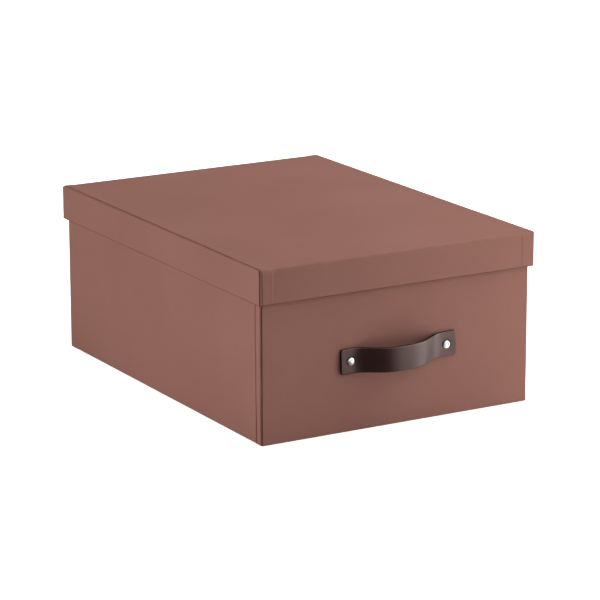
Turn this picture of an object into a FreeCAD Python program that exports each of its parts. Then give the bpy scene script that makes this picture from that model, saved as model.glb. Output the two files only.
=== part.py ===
import FreeCAD, Part
import math
import os

import Sketcher

# Storage box with a lift-off lid: board panels covered in paper, and one riveted leather strap.
# X is the width, Y the length with the strap on the -Y end, and Z is up from the underside.
# The origin is the centre of the box's underside. Lengths are in millimetres.

# Driving sizes
SIZES = [
    ("lid_width", 265.0, "lid across its two long skirts"),
    ("lid_length", 360.5, "lid across its two short skirts"),
    ("total_height", 149.0, "underside of the box to the top of the lid"),
    ("lid_depth", 30.2, "height of the lid's skirts"),
    ("lid_fit", 0.7, "clearance on each side between the lid and the box"),
    ("wall_board", 2.0, "board of the box's walls"),
    ("base_board", 2.0, "board of the box's floor"),
    ("skirt_board", 2.0, "board of the lid's skirts"),
    ("top_board", 2.0, "board of the lid's top"),
    ("cover_sheet", 0.35, "covering paper"),
    ("liner_sheet", 0.25, "lining paper"),
    ("liner_gap", 0.2, "gap round the floor and ceiling linings"),
    ("box_lap", 9.0, "end sheets turned round the corners onto the long walls"),
    ("box_setback", 1.8, "long walls' sheets stop this far from the corners"),
    ("skirt_lap", 12.0, "long skirts' sheets turned onto the short skirts"),
    ("top_lap", 6.0, "long skirts' sheets turned onto the top"),
    ("lid_setback", 2.2, "main sheet stops this far from the lid's long edges"),
    ("lap_slope", 1.5, "width of the slope where a sheet climbs over a lap"),
    ("lap_clip", 3.0, "corner cut off each lap of the lid"),
    ("turn_in", 15.0, "covering turned down inside the box"),
    ("turn_under", 12.0, "covering turned under the box"),
    ("lid_turn_in", 25.0, "covering turned up inside the lid"),
    ("base_setback", 2.0, "base sheet stops this far from the box's edges"),
    ("liner_drop", 3.0, "wall linings start this far below the rim"),
    ("rivet_spacing", 92.6, "rivet to rivet"),
    ("rivet_height", 61.5, "rivets above the underside, halfway between the two"),
    ("strap_rise", 1.4, "right rivet above the left one"),
    ("strap_end", 9.4, "rivet to the end of the strap"),
    ("strap_width", 22.0, "strap across its width"),
    ("strap_thickness", 2.5, "leather"),
    ("strap_bow", 16.3, "finger gap behind the middle of the strap"),
    ("strap_corner", 2.5, "rounding of the strap's four corners"),
    ("bend_gap", 0.8, "rivet head to where the strap leaves the wall"),
    ("bend_radius", 20.0, "strap's bend beside each rivet, on its wall side"),
    ("head_diameter", 7.0, "rivet's domed head"),
    ("head_edge", 0.4, "straight edge under the dome"),
    ("head_dome", 1.6, "rise of the dome"),
    ("shank_diameter", 3.0, "rivet's shank"),
    ("hole_play", 0.1, "radial play of the shank in its holes"),
    ("tail_diameter", 5.4, "rivet's clenched tail"),
    ("tail_thickness", 0.7, "clenched tail"),
    ("washer_diameter", 10.0, "washer inside the box"),
    ("washer_thickness", 0.8, "washer inside the box"),
]

# Planes and radii worked out from the driving sizes. Those of the plan are half distances.
PLANES = [
    ("lid_side", "lid_width / 2"),
    ("lid_side_board", "lid_side - cover_sheet"),
    ("lid_side_inner", "lid_side_board - skirt_board"),
    ("lid_side_lining", "lid_side_inner - cover_sheet"),
    ("lid_end", "lid_length / 2"),
    ("lid_end_low", "lid_end - cover_sheet"),
    ("lid_end_board", "lid_end_low - cover_sheet"),
    ("lid_end_inner", "lid_end_board - skirt_board"),
    ("lid_end_lining", "lid_end_inner - cover_sheet"),
    ("lid_top", "total_height"),
    ("lid_top_low", "lid_top - cover_sheet"),
    ("lid_board_top", "lid_top_low - cover_sheet"),
    ("lid_board_under", "lid_board_top - top_board"),
    ("lid_ceiling", "lid_board_under - liner_sheet"),
    ("lid_rim", "total_height - lid_depth"),
    ("lid_rim_board", "lid_rim + cover_sheet"),
    ("lid_turn_top", "lid_rim + lid_turn_in"),
    ("lid_sheet_edge", "lid_side - lid_setback"),
    ("top_lap_in", "lid_side - top_lap"),
    ("top_lap_foot", "top_lap_in - lap_slope"),
    ("skirt_lap_in", "lid_side - skirt_lap"),
    ("skirt_lap_foot", "skirt_lap_in - lap_slope"),
    ("clip_side", "skirt_lap_in + lap_clip"),
    ("clip_height", "lid_board_top - lap_clip"),
    ("ceiling_side", "lid_side_inner - liner_gap"),
    ("ceiling_end", "lid_end_inner - liner_gap"),
    ("box_side_lapped", "lid_side_lining - lid_fit"),
    ("box_side", "box_side_lapped - cover_sheet"),
    ("box_side_board", "box_side - cover_sheet"),
    ("box_side_inner", "box_side_board - wall_board"),
    ("box_side_lining", "box_side_inner - cover_sheet"),
    ("box_end", "lid_end_lining - lid_fit"),
    ("box_end_board", "box_end - cover_sheet"),
    ("box_end_inner", "box_end_board - wall_board"),
    ("box_end_lining", "box_end_inner - cover_sheet"),
    ("box_rim", "lid_ceiling"),
    ("box_rim_board", "box_rim - cover_sheet"),
    ("turn_in_foot", "box_rim - turn_in"),
    ("edge_under", "cover_sheet"),
    ("board_under", "edge_under + cover_sheet"),
    ("floor_board", "board_under + base_board"),
    ("floor_face", "floor_board + liner_sheet"),
    ("box_lap_in", "box_end - box_lap"),
    ("box_lap_foot", "box_lap_in - lap_slope"),
    ("side_sheet_end", "box_end - box_setback"),
    ("mitre_side", "box_side - box_setback"),
    ("under_side", "box_side - turn_under"),
    ("under_end", "box_end - turn_under"),
    ("base_sheet_side", "box_side - base_setback"),
    ("base_sheet_end", "box_end - base_setback"),
    ("liner_top", "box_rim - liner_drop"),
    ("liner_jog", "turn_in_foot - lap_slope"),
    ("side_liner_low", "box_side_inner - liner_sheet"),
    ("side_liner_high", "box_side_lining - liner_sheet"),
    ("end_liner_low", "box_end_inner - liner_sheet"),
    ("end_liner_high", "box_end_lining - liner_sheet"),
    ("floor_side", "side_liner_low - liner_gap"),
    ("floor_end", "end_liner_low - liner_gap"),
    ("rivet_side", "rivet_spacing / 2"),
    ("half_rise", "strap_rise / 2"),
    ("left_rivet_height", "rivet_height - half_rise"),
    ("right_rivet_height", "rivet_height + half_rise"),
    ("strap_hole", "sqrt(rivet_side ^ 2 + half_rise ^ 2)"),
    ("strap_tip", "rivet_side + strap_end"),
    ("strap_face", "box_end + strap_thickness"),
    ("strap_half", "strap_width / 2"),
    ("bend_start", "rivet_side - head_diameter / 2 - bend_gap"),
    ("bend_sum", "(bend_start ^ 2 + strap_bow ^ 2) / (2 * strap_bow)"),
    ("crown_radius", "bend_sum - bend_radius"),
    ("wall_join_side", "bend_start * crown_radius / bend_sum"),
    ("wall_join_out", "box_end + bend_radius * strap_bow / bend_sum"),
    ("face_bend", "bend_radius - strap_thickness"),
    ("face_crown", "crown_radius + strap_thickness"),
    ("face_join_side", "bend_start * (1 - face_bend / bend_sum)"),
    ("face_join_out", "box_end + bend_radius - face_bend * (1 - strap_bow / bend_sum)"),
    ("head_radius", "head_diameter / 2"),
    ("dome_foot", "strap_face + head_edge"),
    ("dome_top", "dome_foot + head_dome"),
    ("dome_radius", "(head_radius ^ 2 + head_dome ^ 2) / (2 * head_dome)"),
    ("shank_radius", "shank_diameter / 2"),
    ("hole_radius", "shank_radius + hole_play"),
    ("washer_radius", "washer_diameter / 2"),
    ("washer_back", "end_liner_low - washer_thickness"),
    ("tail_radius", "tail_diameter / 2"),
    ("tail_back", "washer_back - tail_thickness"),
]

# Directions square to each sketch plane: the sketch's own depth runs along this axis.
PLANE_DEPTH = {"XY_Plane": 1, "XZ_Plane": -1, "YZ_Plane": 1}

PARTS_FOLDER = "parts"
MOST_PARTS = 60

document = FreeCAD.newDocument("StorageBox")
sheet = document.addObject("Spreadsheet::Sheet", "Sizes")
nodes = []


def fill_sheet():
    """Write the driving sizes as numbers and the planes as formulas, each under its own alias."""
    row = 1
    for alias, value, note in SIZES:
        sheet.set(f"A{row}", alias)
        sheet.set(f"B{row}", str(value))
        sheet.set(f"C{row}", note)
        sheet.setAlias(f"B{row}", alias)
        row += 1
    for alias, formula in PLANES:
        sheet.set(f"A{row}", alias)
        sheet.set(f"B{row}", "=" + formula)
        sheet.setAlias(f"B{row}", alias)
        row += 1
    document.recompute()


def flip(name, side):
    """The same plane on the other side of the box: side is 1 or -1."""
    if side > 0 or name == "0":
        return name
    return name[1:] if name.startswith("-") else "-" + name


def value(name):
    """Where a signed plane name lies."""
    if name == "0":
        return 0.0
    if name.startswith("-"):
        return -float(sheet.get(name[1:]))
    return float(sheet.get(name))


def bound(name):
    """The expression that a signed plane name stands for."""
    if name == "0":
        return "0"
    if name.startswith("-"):
        return f"(-{sheet.Name}.{name[1:]})"
    return f"{sheet.Name}.{name}"


def short_arc(start, end, radius, side):
    """Short arc between two points. It bulges to the left of the way there where side is 1."""
    chord = end - start
    half = chord.Length / 2
    left = FreeCAD.Vector(-chord.y, chord.x, 0).normalize()
    centre = (start + end) / 2 - left * side * math.sqrt(radius ** 2 - half ** 2)
    first, last = (end, start) if side > 0 else (start, end)
    first_angle = math.atan2(first.y - centre.y, first.x - centre.x)
    last_angle = math.atan2(last.y - centre.y, last.x - centre.x)
    if last_angle < first_angle:
        last_angle += 2 * math.pi
    circle = Part.Circle(centre, FreeCAD.Vector(0, 0, 1), radius)
    return Part.ArcOfCircle(circle, first_angle, last_angle)


def pin_point(sketch, index, position, corner):
    """Tie one point of a sketch to its two planes."""
    axes = (("DistanceX", corner[0], -2), ("DistanceY", corner[1], -1))
    for kind, name, axis in axes:
        if name == "0":
            sketch.addConstraint(Sketcher.Constraint("PointOnObject", index, position, axis))
            continue
        number = sketch.addConstraint(Sketcher.Constraint(kind, index, position, value(name)))
        sketch.setExpression(f"Constraints[{number}]", bound(name))


def add_outline(sketch, corners):
    """Closed outline. A corner is (x, y), or (x, y, radius, side) where an arc leads to the next."""
    points = [FreeCAD.Vector(value(corner[0]), value(corner[1]), 0) for corner in corners]
    ends = []
    for number, corner in enumerate(corners):
        start = points[number]
        finish = points[(number + 1) % len(points)]
        if len(corner) == 2:
            index = sketch.addGeometry(Part.LineSegment(start, finish), False)
            ends.append((index, 1, 2))
            continue
        arc = short_arc(start, finish, value(corner[2]), corner[3])
        index = sketch.addGeometry(arc, False)
        ends.append((index, 2, 1) if corner[3] > 0 else (index, 1, 2))
        radius = sketch.addConstraint(Sketcher.Constraint("Radius", index, value(corner[2])))
        sketch.setExpression(f"Constraints[{radius}]", bound(corner[2]))
    for number, corner in enumerate(corners):
        index, first, last = ends[number]
        following, following_first, _ = ends[(number + 1) % len(ends)]
        sketch.addConstraint(
            Sketcher.Constraint("Coincident", index, last, following, following_first))
        pin_point(sketch, index, first, corner)


def add_circle(sketch, x, y, radius):
    """Circle with its centre on two planes."""
    centre = FreeCAD.Vector(value(x), value(y), 0)
    index = sketch.addGeometry(Part.Circle(centre, FreeCAD.Vector(0, 0, 1), value(radius)), False)
    pin_point(sketch, index, 3, (x, y))
    number = sketch.addConstraint(Sketcher.Constraint("Radius", index, value(radius)))
    sketch.setExpression(f"Constraints[{number}]", bound(radius))


def new_body(label):
    """A sub-part of its own, whose label names its file."""
    body = document.addObject("PartDesign::Body", label)
    body.Label = label
    nodes.append(body)
    return body


def new_sketch(body, name, plane, depth):
    """Sketch on one of the body's planes, moved along its depth by the expression."""
    sketch = body.newObject("Sketcher::SketchObject", name)
    origin_plane = [item for item in body.Origin.OriginFeatures if item.Role == plane][0]
    sketch.AttachmentSupport = [(origin_plane, "")]
    sketch.MapMode = "FlatFace"
    if depth != "0":
        sketch.setExpression("AttachmentOffset.Base.z", depth)
    return sketch


def add_pad(body, name, plane, low, high, outline=(), circles=()):
    """Outline carried from one plane to a higher one, with round holes where circles lie in it."""
    start = bound(low) if PLANE_DEPTH[plane] > 0 else f"-({bound(high)})"
    sketch = new_sketch(body, name + "_outline", plane, start)
    if outline:
        add_outline(sketch, outline)
    for circle in circles:
        add_circle(sketch, *circle)
    pad = body.newObject("PartDesign::Pad", name)
    pad.Profile = sketch
    pad.setExpression("Length", f"{bound(high)} - {bound(low)}")
    body.Tip = pad
    return pad


def rectangle(left, bottom, right, top):
    """Four corners of an upright rectangle."""
    return [(left, bottom), (right, bottom), (right, top), (left, top)]


def rivet_circles(radius):
    """The two rivet holes, seen along the length of the box. The right one is a little higher."""
    return [
        ("-rivet_side", "left_rivet_height", radius),
        ("rivet_side", "right_rivet_height", radius),
    ]


def drill_rivet_holes(body, circles=()):
    """Cut the two rivet holes from the middle of the box out through its -Y end."""
    before = body.Tip
    sketch = new_sketch(body, body.Label + "_holes", "XZ_Plane", "0")
    for circle in circles or rivet_circles("hole_radius"):
        add_circle(sketch, *circle)
    pocket = body.newObject("PartDesign::Pocket", body.Label + "_drilled")
    pocket.Profile = sketch
    pocket.Type = "ThroughAll"
    pocket.Reversed = True
    body.Tip = pocket
    document.recompute()
    if not pocket.Shape.Volume < before.Shape.Volume:
        raise RuntimeError(f"{body.Label}: the rivet holes cut nothing")


def add_board(label, low, high):
    """Plain board panel between two corners given by signed plane names."""
    board = document.addObject("Part::Box", label)
    board.Label = label
    for size, axis, start, end in zip(("Length", "Width", "Height"), "xyz", low, high):
        board.setExpression(size, f"{bound(end)} - {bound(start)}")
        board.setExpression(f"Placement.Base.{axis}", bound(start))
    nodes.append(board)


def span(inner, outer, side):
    """Low and high plane of a layer that lies on one side of the box."""
    return (inner, outer) if side > 0 else ("-" + outer, "-" + inner)


def add_side_board(label, side, planes, end, bottom, top):
    """Long board of the box or the lid, which runs past the short boards."""
    low, high = span(*planes, side)
    add_board(label, (low, "-" + end, bottom), (high, end, top))


def add_end_board(label, side, planes, width, bottom, top, circles=()):
    """Short board, which fits between the long ones. The handle's board has two holes."""
    low, high = span(*planes, side)
    if not circles:
        add_board(label, ("-" + width, low, bottom), (width, high, top))
        return
    body = new_body(label)
    outline = rectangle("-" + width, bottom, width, top)
    add_pad(body, label + "_panel", "XZ_Plane", low, high, outline, circles)


def build_box_boards():
    """Four walls round the floor, all standing on the turned-under edges of the covering."""
    inside = ("box_side_inner", "box_side_board")
    ends = ("box_end_inner", "box_end_board")
    heights = ("board_under", "box_rim_board")
    add_board("base_board", ("-box_side_inner", "-box_end_inner", "board_under"),
              ("box_side_inner", "box_end_inner", "floor_board"))
    add_side_board("left_board", -1, inside, "box_end_board", *heights)
    add_side_board("right_board", 1, inside, "box_end_board", *heights)
    add_end_board("front_board", -1, ends, "box_side_inner", *heights,
                  circles=rivet_circles("hole_radius"))
    add_end_board("rear_board", 1, ends, "box_side_inner", *heights)


def end_turn(inner_end, inner_side, side):
    """Strip along a short edge of the box. It fills the corners and is cut at a slant inside."""
    outer = flip("box_end", side)
    stop = flip("side_sheet_end", side)
    inner = flip(inner_end, side)
    return [
        ("-box_side", outer), ("box_side", outer), ("box_side", stop), ("mitre_side", stop),
        (inner_side, inner), ("-" + inner_side, inner), ("-mitre_side", stop),
        ("-box_side", stop),
    ]


def side_turn(inner_end, inner_side, side):
    """Strip along a long edge of the box, as far out as the sheet's face and its raised ends."""
    face = flip("box_side", side)
    lapped = flip("box_side_lapped", side)
    mitre = flip("mitre_side", side)
    inner = flip(inner_side, side)
    return [
        (lapped, "-side_sheet_end"), (lapped, "-box_lap_in"), (face, "-box_lap_foot"),
        (face, "box_lap_foot"), (lapped, "box_lap_in"), (lapped, "side_sheet_end"),
        (mitre, "side_sheet_end"), (inner, inner_end), (inner, "-" + inner_end),
        (mitre, "-side_sheet_end"),
    ]


def add_box_turns(body, turn, side):
    """The sheet's edge over the box's rim, and its edge turned under the box."""
    label = body.Label
    over = turn("box_end_lining", "box_side_lining", side)
    under = turn("under_end", "under_side", side)
    add_pad(body, label + "_over_rim", "XY_Plane", "box_rim_board", "box_rim", over)
    add_pad(body, label + "_turned_under", "XY_Plane", "edge_under", "board_under", under)


def build_end_sheet(label, side, has_handle):
    """Covering of a short wall, turned round both corners, over the rim and under the box."""
    body = new_body(label)
    face = flip("box_end", side)
    back = flip("box_end_board", side)
    lap = flip("box_lap_in", side)
    outline = [
        ("-box_side", face), ("box_side", face), ("box_side", lap), ("box_side_board", lap),
        ("box_side_board", back), ("-box_side_board", back), ("-box_side_board", lap),
        ("-box_side", lap),
    ]
    add_pad(body, label + "_face", "XY_Plane", "board_under", "box_rim_board", outline)
    add_box_turns(body, end_turn, side)
    low, high = span("box_end_lining", "box_end_inner", side)
    inner = rectangle("-box_side_lining", low, "box_side_lining", high)
    add_pad(body, label + "_turned_in", "XY_Plane", "turn_in_foot", "box_rim", inner)
    if has_handle:
        drill_rivet_holes(body)


def build_side_sheet(label, side):
    """Covering of a long wall. It climbs over the end sheets' laps and stops near the corners."""
    body = new_body(label)
    board = flip("box_side_board", side)
    face = flip("box_side", side)
    lapped = flip("box_side_lapped", side)
    outline = [
        (face, "-side_sheet_end"), (lapped, "-side_sheet_end"), (lapped, "-box_lap_in"),
        (face, "-box_lap_foot"), (face, "box_lap_foot"), (lapped, "box_lap_in"),
        (lapped, "side_sheet_end"), (face, "side_sheet_end"), (face, "box_lap_in"),
        (board, "box_lap_foot"), (board, "-box_lap_foot"), (face, "-box_lap_in"),
    ]
    add_pad(body, label + "_face", "XY_Plane", "board_under", "box_rim_board", outline)
    add_box_turns(body, side_turn, side)
    low, high = span("box_side_lining", "box_side_inner", side)
    inner = rectangle(low, "-box_end_inner", high, "box_end_inner")
    add_pad(body, label + "_turned_in", "XY_Plane", "turn_in_foot", "box_rim", inner)


def build_base_sheet():
    """Paper under the box, filled out between the turned-under edges so that it lies flat."""
    body = new_body("base_sheet")
    outline = rectangle("-base_sheet_side", "-base_sheet_end", "base_sheet_side", "base_sheet_end")
    infill = rectangle("-under_side", "-under_end", "under_side", "under_end")
    add_pad(body, "base_sheet_face", "XY_Plane", "0", "edge_under", outline)
    add_pad(body, "base_sheet_infill", "XY_Plane", "edge_under", "board_under", infill)


def liner_profile(wall, turned, low_face, high_face, side):
    """Section of a wall lining, which laps over the turned-in edge of the covering."""
    return [
        (flip(wall, side), "floor_board"), (flip(low_face, side), "floor_board"),
        (flip(low_face, side), "liner_jog"), (flip(high_face, side), "turn_in_foot"),
        (flip(high_face, side), "liner_top"), (flip(turned, side), "liner_top"),
        (flip(turned, side), "turn_in_foot"), (flip(wall, side), "liner_jog"),
    ]


def build_liners():
    """Linings of the four walls and the floor."""
    for label, side in (("front_liner", -1), ("rear_liner", 1)):
        body = new_body(label)
        profile = liner_profile(
            "box_end_inner", "box_end_lining", "end_liner_low", "end_liner_high", side)
        add_pad(body, label + "_sheet", "YZ_Plane", "-side_liner_high", "side_liner_high", profile)
        if side < 0:
            drill_rivet_holes(body)
    for label, side in (("left_liner", -1), ("right_liner", 1)):
        body = new_body(label)
        profile = liner_profile(
            "box_side_inner", "box_side_lining", "side_liner_low", "side_liner_high", side)
        add_pad(body, label + "_sheet", "XZ_Plane", "-box_end_lining", "box_end_lining", profile)
    add_board("floor_liner", ("-floor_side", "-floor_end", "floor_board"),
              ("floor_side", "floor_end", "floor_face"))


def strap_outline():
    """Plan of the bowed strap: flat ends, a bend beside each rivet and a round crown."""
    return [
        ("-strap_tip", "-box_end"),
        ("-bend_start", "-box_end", "bend_radius", 1),
        ("-wall_join_side", "-wall_join_out", "crown_radius", -1),
        ("wall_join_side", "-wall_join_out", "bend_radius", 1),
        ("bend_start", "-box_end"),
        ("strap_tip", "-box_end"),
        ("strap_tip", "-strap_face"),
        ("bend_start", "-strap_face", "face_bend", -1),
        ("face_join_side", "-face_join_out", "face_crown", 1),
        ("-face_join_side", "-face_join_out", "face_bend", -1),
        ("-bend_start", "-strap_face"),
        ("-strap_tip", "-strap_face"),
    ]


def corner_edges(shape):
    """Names of the strap's four short edges through its thickness, at its tips."""
    names = []
    tip = value("strap_tip")
    for number, edge in enumerate(shape.Edges, start=1):
        box = edge.BoundBox
        if abs(edge.Length - value("strap_thickness")) > 0.001 or box.YLength < edge.Length - 0.001:
            continue
        if abs(abs(box.Center.x) - tip) < 0.001:
            names.append(f"Edge{number}")
    return names


def build_strap():
    """Leather strap, bowed out from the short wall between its two rivets.

    It is drawn level about its own middle, and turned so that its holes meet the rivets.
    """
    body = new_body("handle_strap")
    strap = add_pad(body, "strap_form", "XY_Plane", "-strap_half", "strap_half", strap_outline())
    document.recompute()
    rounding = body.newObject("PartDesign::Fillet", "strap_rounding")
    rounding.Base = (strap, corner_edges(strap.Shape))
    rounding.setExpression("Radius", bound("strap_corner"))
    body.Tip = rounding
    document.recompute()
    drill_rivet_holes(body, [("-strap_hole", "0", "hole_radius"), ("strap_hole", "0", "hole_radius")])
    body.Placement.Rotation = FreeCAD.Rotation(FreeCAD.Vector(0, -1, 0), 1)
    body.setExpression("Placement.Rotation.Angle", f"atan({bound('strap_rise')} / {bound('rivet_spacing')})")
    body.setExpression("Placement.Base.z", bound("rivet_height"))


def height_of_rivet(side):
    """Name of the plane on which a side's rivet lies."""
    return "right_rivet_height" if side > 0 else "left_rivet_height"


def build_rivet(label, side):
    """Rivet turned about its shank: domed head on the strap and tail clenched over the washer."""
    body = new_body(label)
    sketch = new_sketch(body, label + "_outline", "XY_Plane", "0")
    add_outline(sketch, [
        ("0", "-dome_top", "dome_radius", -1),
        ("head_radius", "-dome_foot"),
        ("head_radius", "-strap_face"),
        ("shank_radius", "-strap_face"),
        ("shank_radius", "-washer_back"),
        ("tail_radius", "-washer_back"),
        ("tail_radius", "-tail_back"),
        ("0", "-tail_back"),
    ])
    turned = body.newObject("PartDesign::Revolution", label + "_turned")
    turned.Profile = sketch
    turned.ReferenceAxis = (sketch, ["V_Axis"])
    turned.Angle = 360
    body.Tip = turned
    body.setExpression("Placement.Base.x", bound(flip("rivet_side", side)))
    body.setExpression("Placement.Base.z", bound(height_of_rivet(side)))


def build_washer(label, side):
    """Washer between the lining and the rivet's tail."""
    body = new_body(label)
    centre = (flip("rivet_side", side), height_of_rivet(side))
    circles = [(*centre, "washer_radius"), (*centre, "hole_radius")]
    add_pad(body, label + "_ring", "XZ_Plane", "-end_liner_low", "-washer_back", (), circles)


def build_lid_boards():
    """Top board over four skirts."""
    inside = ("lid_side_inner", "lid_side_board")
    ends = ("lid_end_inner", "lid_end_board")
    heights = ("lid_rim_board", "lid_board_under")
    add_board("lid_top_board", ("-lid_side_board", "-lid_end_board", "lid_board_under"),
              ("lid_side_board", "lid_end_board", "lid_board_top"))
    add_side_board("lid_left_board", -1, inside, "lid_end_board", *heights)
    add_side_board("lid_right_board", 1, inside, "lid_end_board", *heights)
    add_end_board("lid_front_board", -1, ends, "lid_side_inner", *heights)
    add_end_board("lid_rear_board", 1, ends, "lid_side_inner", *heights)


def build_lid_side_sheet(label, side):
    """Covering of a long skirt, lapped onto the top and both short skirts and turned up inside."""
    body = new_body(label)
    face = flip("lid_side", side)
    board = flip("lid_side_board", side)
    top_edge = flip("top_lap_in", side)
    low, high = span("lid_side_lining", "lid_side", side)
    profile = [
        (face, "lid_rim_board"), (face, "lid_top_low"), (top_edge, "lid_top_low"),
        (top_edge, "lid_board_top"), (board, "lid_board_top"), (board, "lid_rim_board"),
    ]
    add_pad(body, label + "_face", "XZ_Plane", "-lid_end_low", "lid_end_low", profile)
    rim = rectangle(low, "-lid_end_lining", high, "lid_end_lining")
    add_pad(body, label + "_under_rim", "XY_Plane", "lid_rim", "lid_rim_board", rim)
    low, high = span("lid_side_lining", "lid_side_inner", side)
    inner = rectangle(low, "-lid_end_lining", high, "lid_end_lining")
    add_pad(body, label + "_turned_in", "XY_Plane", "lid_rim", "lid_turn_top", inner)
    for end in (-1, 1):
        back, front = span("lid_end_board", "lid_end_low", end)
        lap = [
            (face, "lid_rim_board"), (flip("skirt_lap_in", side), "lid_rim_board"),
            (flip("skirt_lap_in", side), "clip_height"), (flip("clip_side", side), "lid_board_top"),
            (face, "lid_board_top"),
        ]
        where = "front" if end < 0 else "rear"
        add_pad(body, f"{label}_{where}_lap", "XZ_Plane", back, front, lap)


def main_sheet_section(end_face, end_back, top_face, top_back):
    """Section of the main sheet along the lid: down, over the top, down, and under both rims."""
    return [
        ("-" + end_face, "lid_rim"), ("-" + end_face, top_face), (end_face, top_face),
        (end_face, "lid_rim"), ("lid_end_lining", "lid_rim"), ("lid_end_lining", "lid_rim_board"),
        (end_back, "lid_rim_board"), (end_back, top_back), ("-" + end_back, top_back),
        ("-" + end_back, "lid_rim_board"), ("-lid_end_lining", "lid_rim_board"),
        ("-lid_end_lining", "lid_rim"),
    ]


def build_lid_main_sheet():
    """Covering of the top and both short skirts, which climbs over the laps near its edges."""
    body = new_body("lid_main_sheet")
    low_end = ("lid_end_low", "lid_end_board")
    high_end = ("lid_end", "lid_end_low")
    low_top = ("lid_top_low", "lid_board_top")
    high_top = ("lid_top", "lid_top_low")
    stations = [
        ("skirt_lap_foot", low_end, low_top), ("skirt_lap_in", high_end, low_top),
        ("top_lap_foot", high_end, low_top), ("top_lap_in", high_end, high_top),
        ("lid_sheet_edge", high_end, high_top),
    ]
    mirrored = [("-" + place, end, top) for place, end, top in reversed(stations)]
    sections = []
    for number, (place, end, top) in enumerate(mirrored + stations):
        sketch = new_sketch(body, f"main_section_{number}", "YZ_Plane", bound(place))
        add_outline(sketch, main_sheet_section(*end, *top))
        sections.append(sketch)
    loft = body.newObject("PartDesign::AdditiveLoft", "main_sheet_face")
    loft.Profile = sections[0]
    loft.Sections = sections[1:]
    loft.Ruled = True
    body.Tip = loft
    for label, side in (("front", -1), ("rear", 1)):
        low, high = span("lid_end_lining", "lid_end_inner", side)
        inner = rectangle("-lid_side_lining", low, "lid_side_lining", high)
        add_pad(body, f"main_sheet_{label}_turned_in", "XY_Plane", "lid_rim", "lid_turn_top", inner)


def build_box():
    """Everything that stays on the table when the lid is lifted off."""
    build_box_boards()
    build_end_sheet("front_sheet", -1, has_handle=True)
    build_end_sheet("rear_sheet", 1, has_handle=False)
    build_side_sheet("left_sheet", -1)
    build_side_sheet("right_sheet", 1)
    build_base_sheet()
    build_liners()
    build_strap()
    for name, side in (("left", -1), ("right", 1)):
        build_rivet(f"{name}_rivet", side)
        build_washer(f"{name}_washer", side)


def build_lid():
    """The lift-off lid, at rest on the box's rim."""
    build_lid_boards()
    build_lid_side_sheet("lid_left_sheet", -1)
    build_lid_side_sheet("lid_right_sheet", 1)
    build_lid_main_sheet()
    add_board("lid_ceiling_liner", ("-ceiling_side", "-ceiling_end", "lid_ceiling"),
              ("ceiling_side", "ceiling_end", "lid_board_under"))


def check_document():
    """Stop if anything failed to build, or a sub-part isn't one sound solid."""
    for item in document.Objects:
        if "Invalid" in item.State or "Error" in item.State:
            raise RuntimeError(f"{item.Label} failed: {item.State}")
    if len(nodes) > MOST_PARTS:
        raise RuntimeError("too many sub-parts")
    for node in nodes:
        shape = node.Shape
        if shape.isNull() or not shape.isValid() or len(shape.Solids) != 1:
            raise RuntimeError(f"{node.Label} isn't one valid solid")


def export_parts():
    """Write each sub-part to its own file, named after its label."""
    os.makedirs(PARTS_FOLDER, exist_ok=True)
    for node in nodes:
        node.Shape.exportStep(os.path.join(PARTS_FOLDER, node.Label + ".step"))
        print(f"{node.Label}: {node.Shape.Volume:.1f} mm3")


fill_sheet()
build_box()
build_lid()
document.recompute()
check_document()
export_parts()
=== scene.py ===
"""Looks of a paper-covered storage box with a lift-off lid and a riveted leather strap handle."""

import logging
import math
from collections.abc import Sequence
from dataclasses import dataclass, field
from enum import Enum, IntEnum

import bmesh
import bpy
import numpy as np
from mathutils import Matrix, Vector


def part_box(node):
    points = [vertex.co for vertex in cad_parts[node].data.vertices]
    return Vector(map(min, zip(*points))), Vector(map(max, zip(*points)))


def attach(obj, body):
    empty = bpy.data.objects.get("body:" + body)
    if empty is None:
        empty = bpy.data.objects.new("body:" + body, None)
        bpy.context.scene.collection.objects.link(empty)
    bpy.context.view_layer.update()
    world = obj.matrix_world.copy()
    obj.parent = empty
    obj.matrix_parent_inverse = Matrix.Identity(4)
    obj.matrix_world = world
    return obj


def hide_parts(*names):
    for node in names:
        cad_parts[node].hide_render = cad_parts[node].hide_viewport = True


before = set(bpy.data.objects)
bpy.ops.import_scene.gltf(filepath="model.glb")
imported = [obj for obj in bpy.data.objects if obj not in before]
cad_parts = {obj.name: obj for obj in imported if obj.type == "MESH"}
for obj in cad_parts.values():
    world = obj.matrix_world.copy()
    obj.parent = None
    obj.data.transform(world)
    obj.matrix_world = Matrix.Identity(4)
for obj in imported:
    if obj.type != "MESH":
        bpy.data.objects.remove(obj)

# One millimetre in metres, and the thickness of the covering paper in mm.
MM = 0.001
PAPER = 0.35
PRESSED_BOARDS = ("lid_top_board", "lid_left_board", "lid_right_board", "lid_front_board", "lid_rear_board")
# Depth in mm to which a profile counts as outside, and the range that most of a noise lies in.
OUTER_DEPTH = 1.6
COMMON = (0.3, 0.7)
Socket = bpy.types.NodeSocket
Triple = tuple[float, float, float]
log = logging.getLogger("storage_box")


class Body(Enum):
    """Bodies of the frame that a piece can ride on."""

    BOX = "box"
    LID = "lid"


class Sign(Enum):
    """Sides that differ by the sign of one axis."""

    @property
    def word(self) -> str:
        """Name of the side as the frame's nodes spell it."""
        return self.name.lower()


class Side(Sign):
    """Long sides of the box, by the sign of X."""

    LEFT = -1
    RIGHT = 1


class End(Sign):
    """Short ends of the box, by the sign of Y. The handle is on the front."""

    FRONT = -1
    REAR = 1


class Seed(IntEnum):
    """Seeds of the swells. Those of a pair of sheets have the sheet's sign added."""

    CUT_EDGE = 5
    SEAM = 9
    BOX_END = 11
    BOX_SIDE = 21
    LID_SIDE = 31
    LID_TOP = 41
    LID_SKIRT = 43
    FRONT_FOLD = 47
    LID_EDGE = 49
    STRAP = 61


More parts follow.
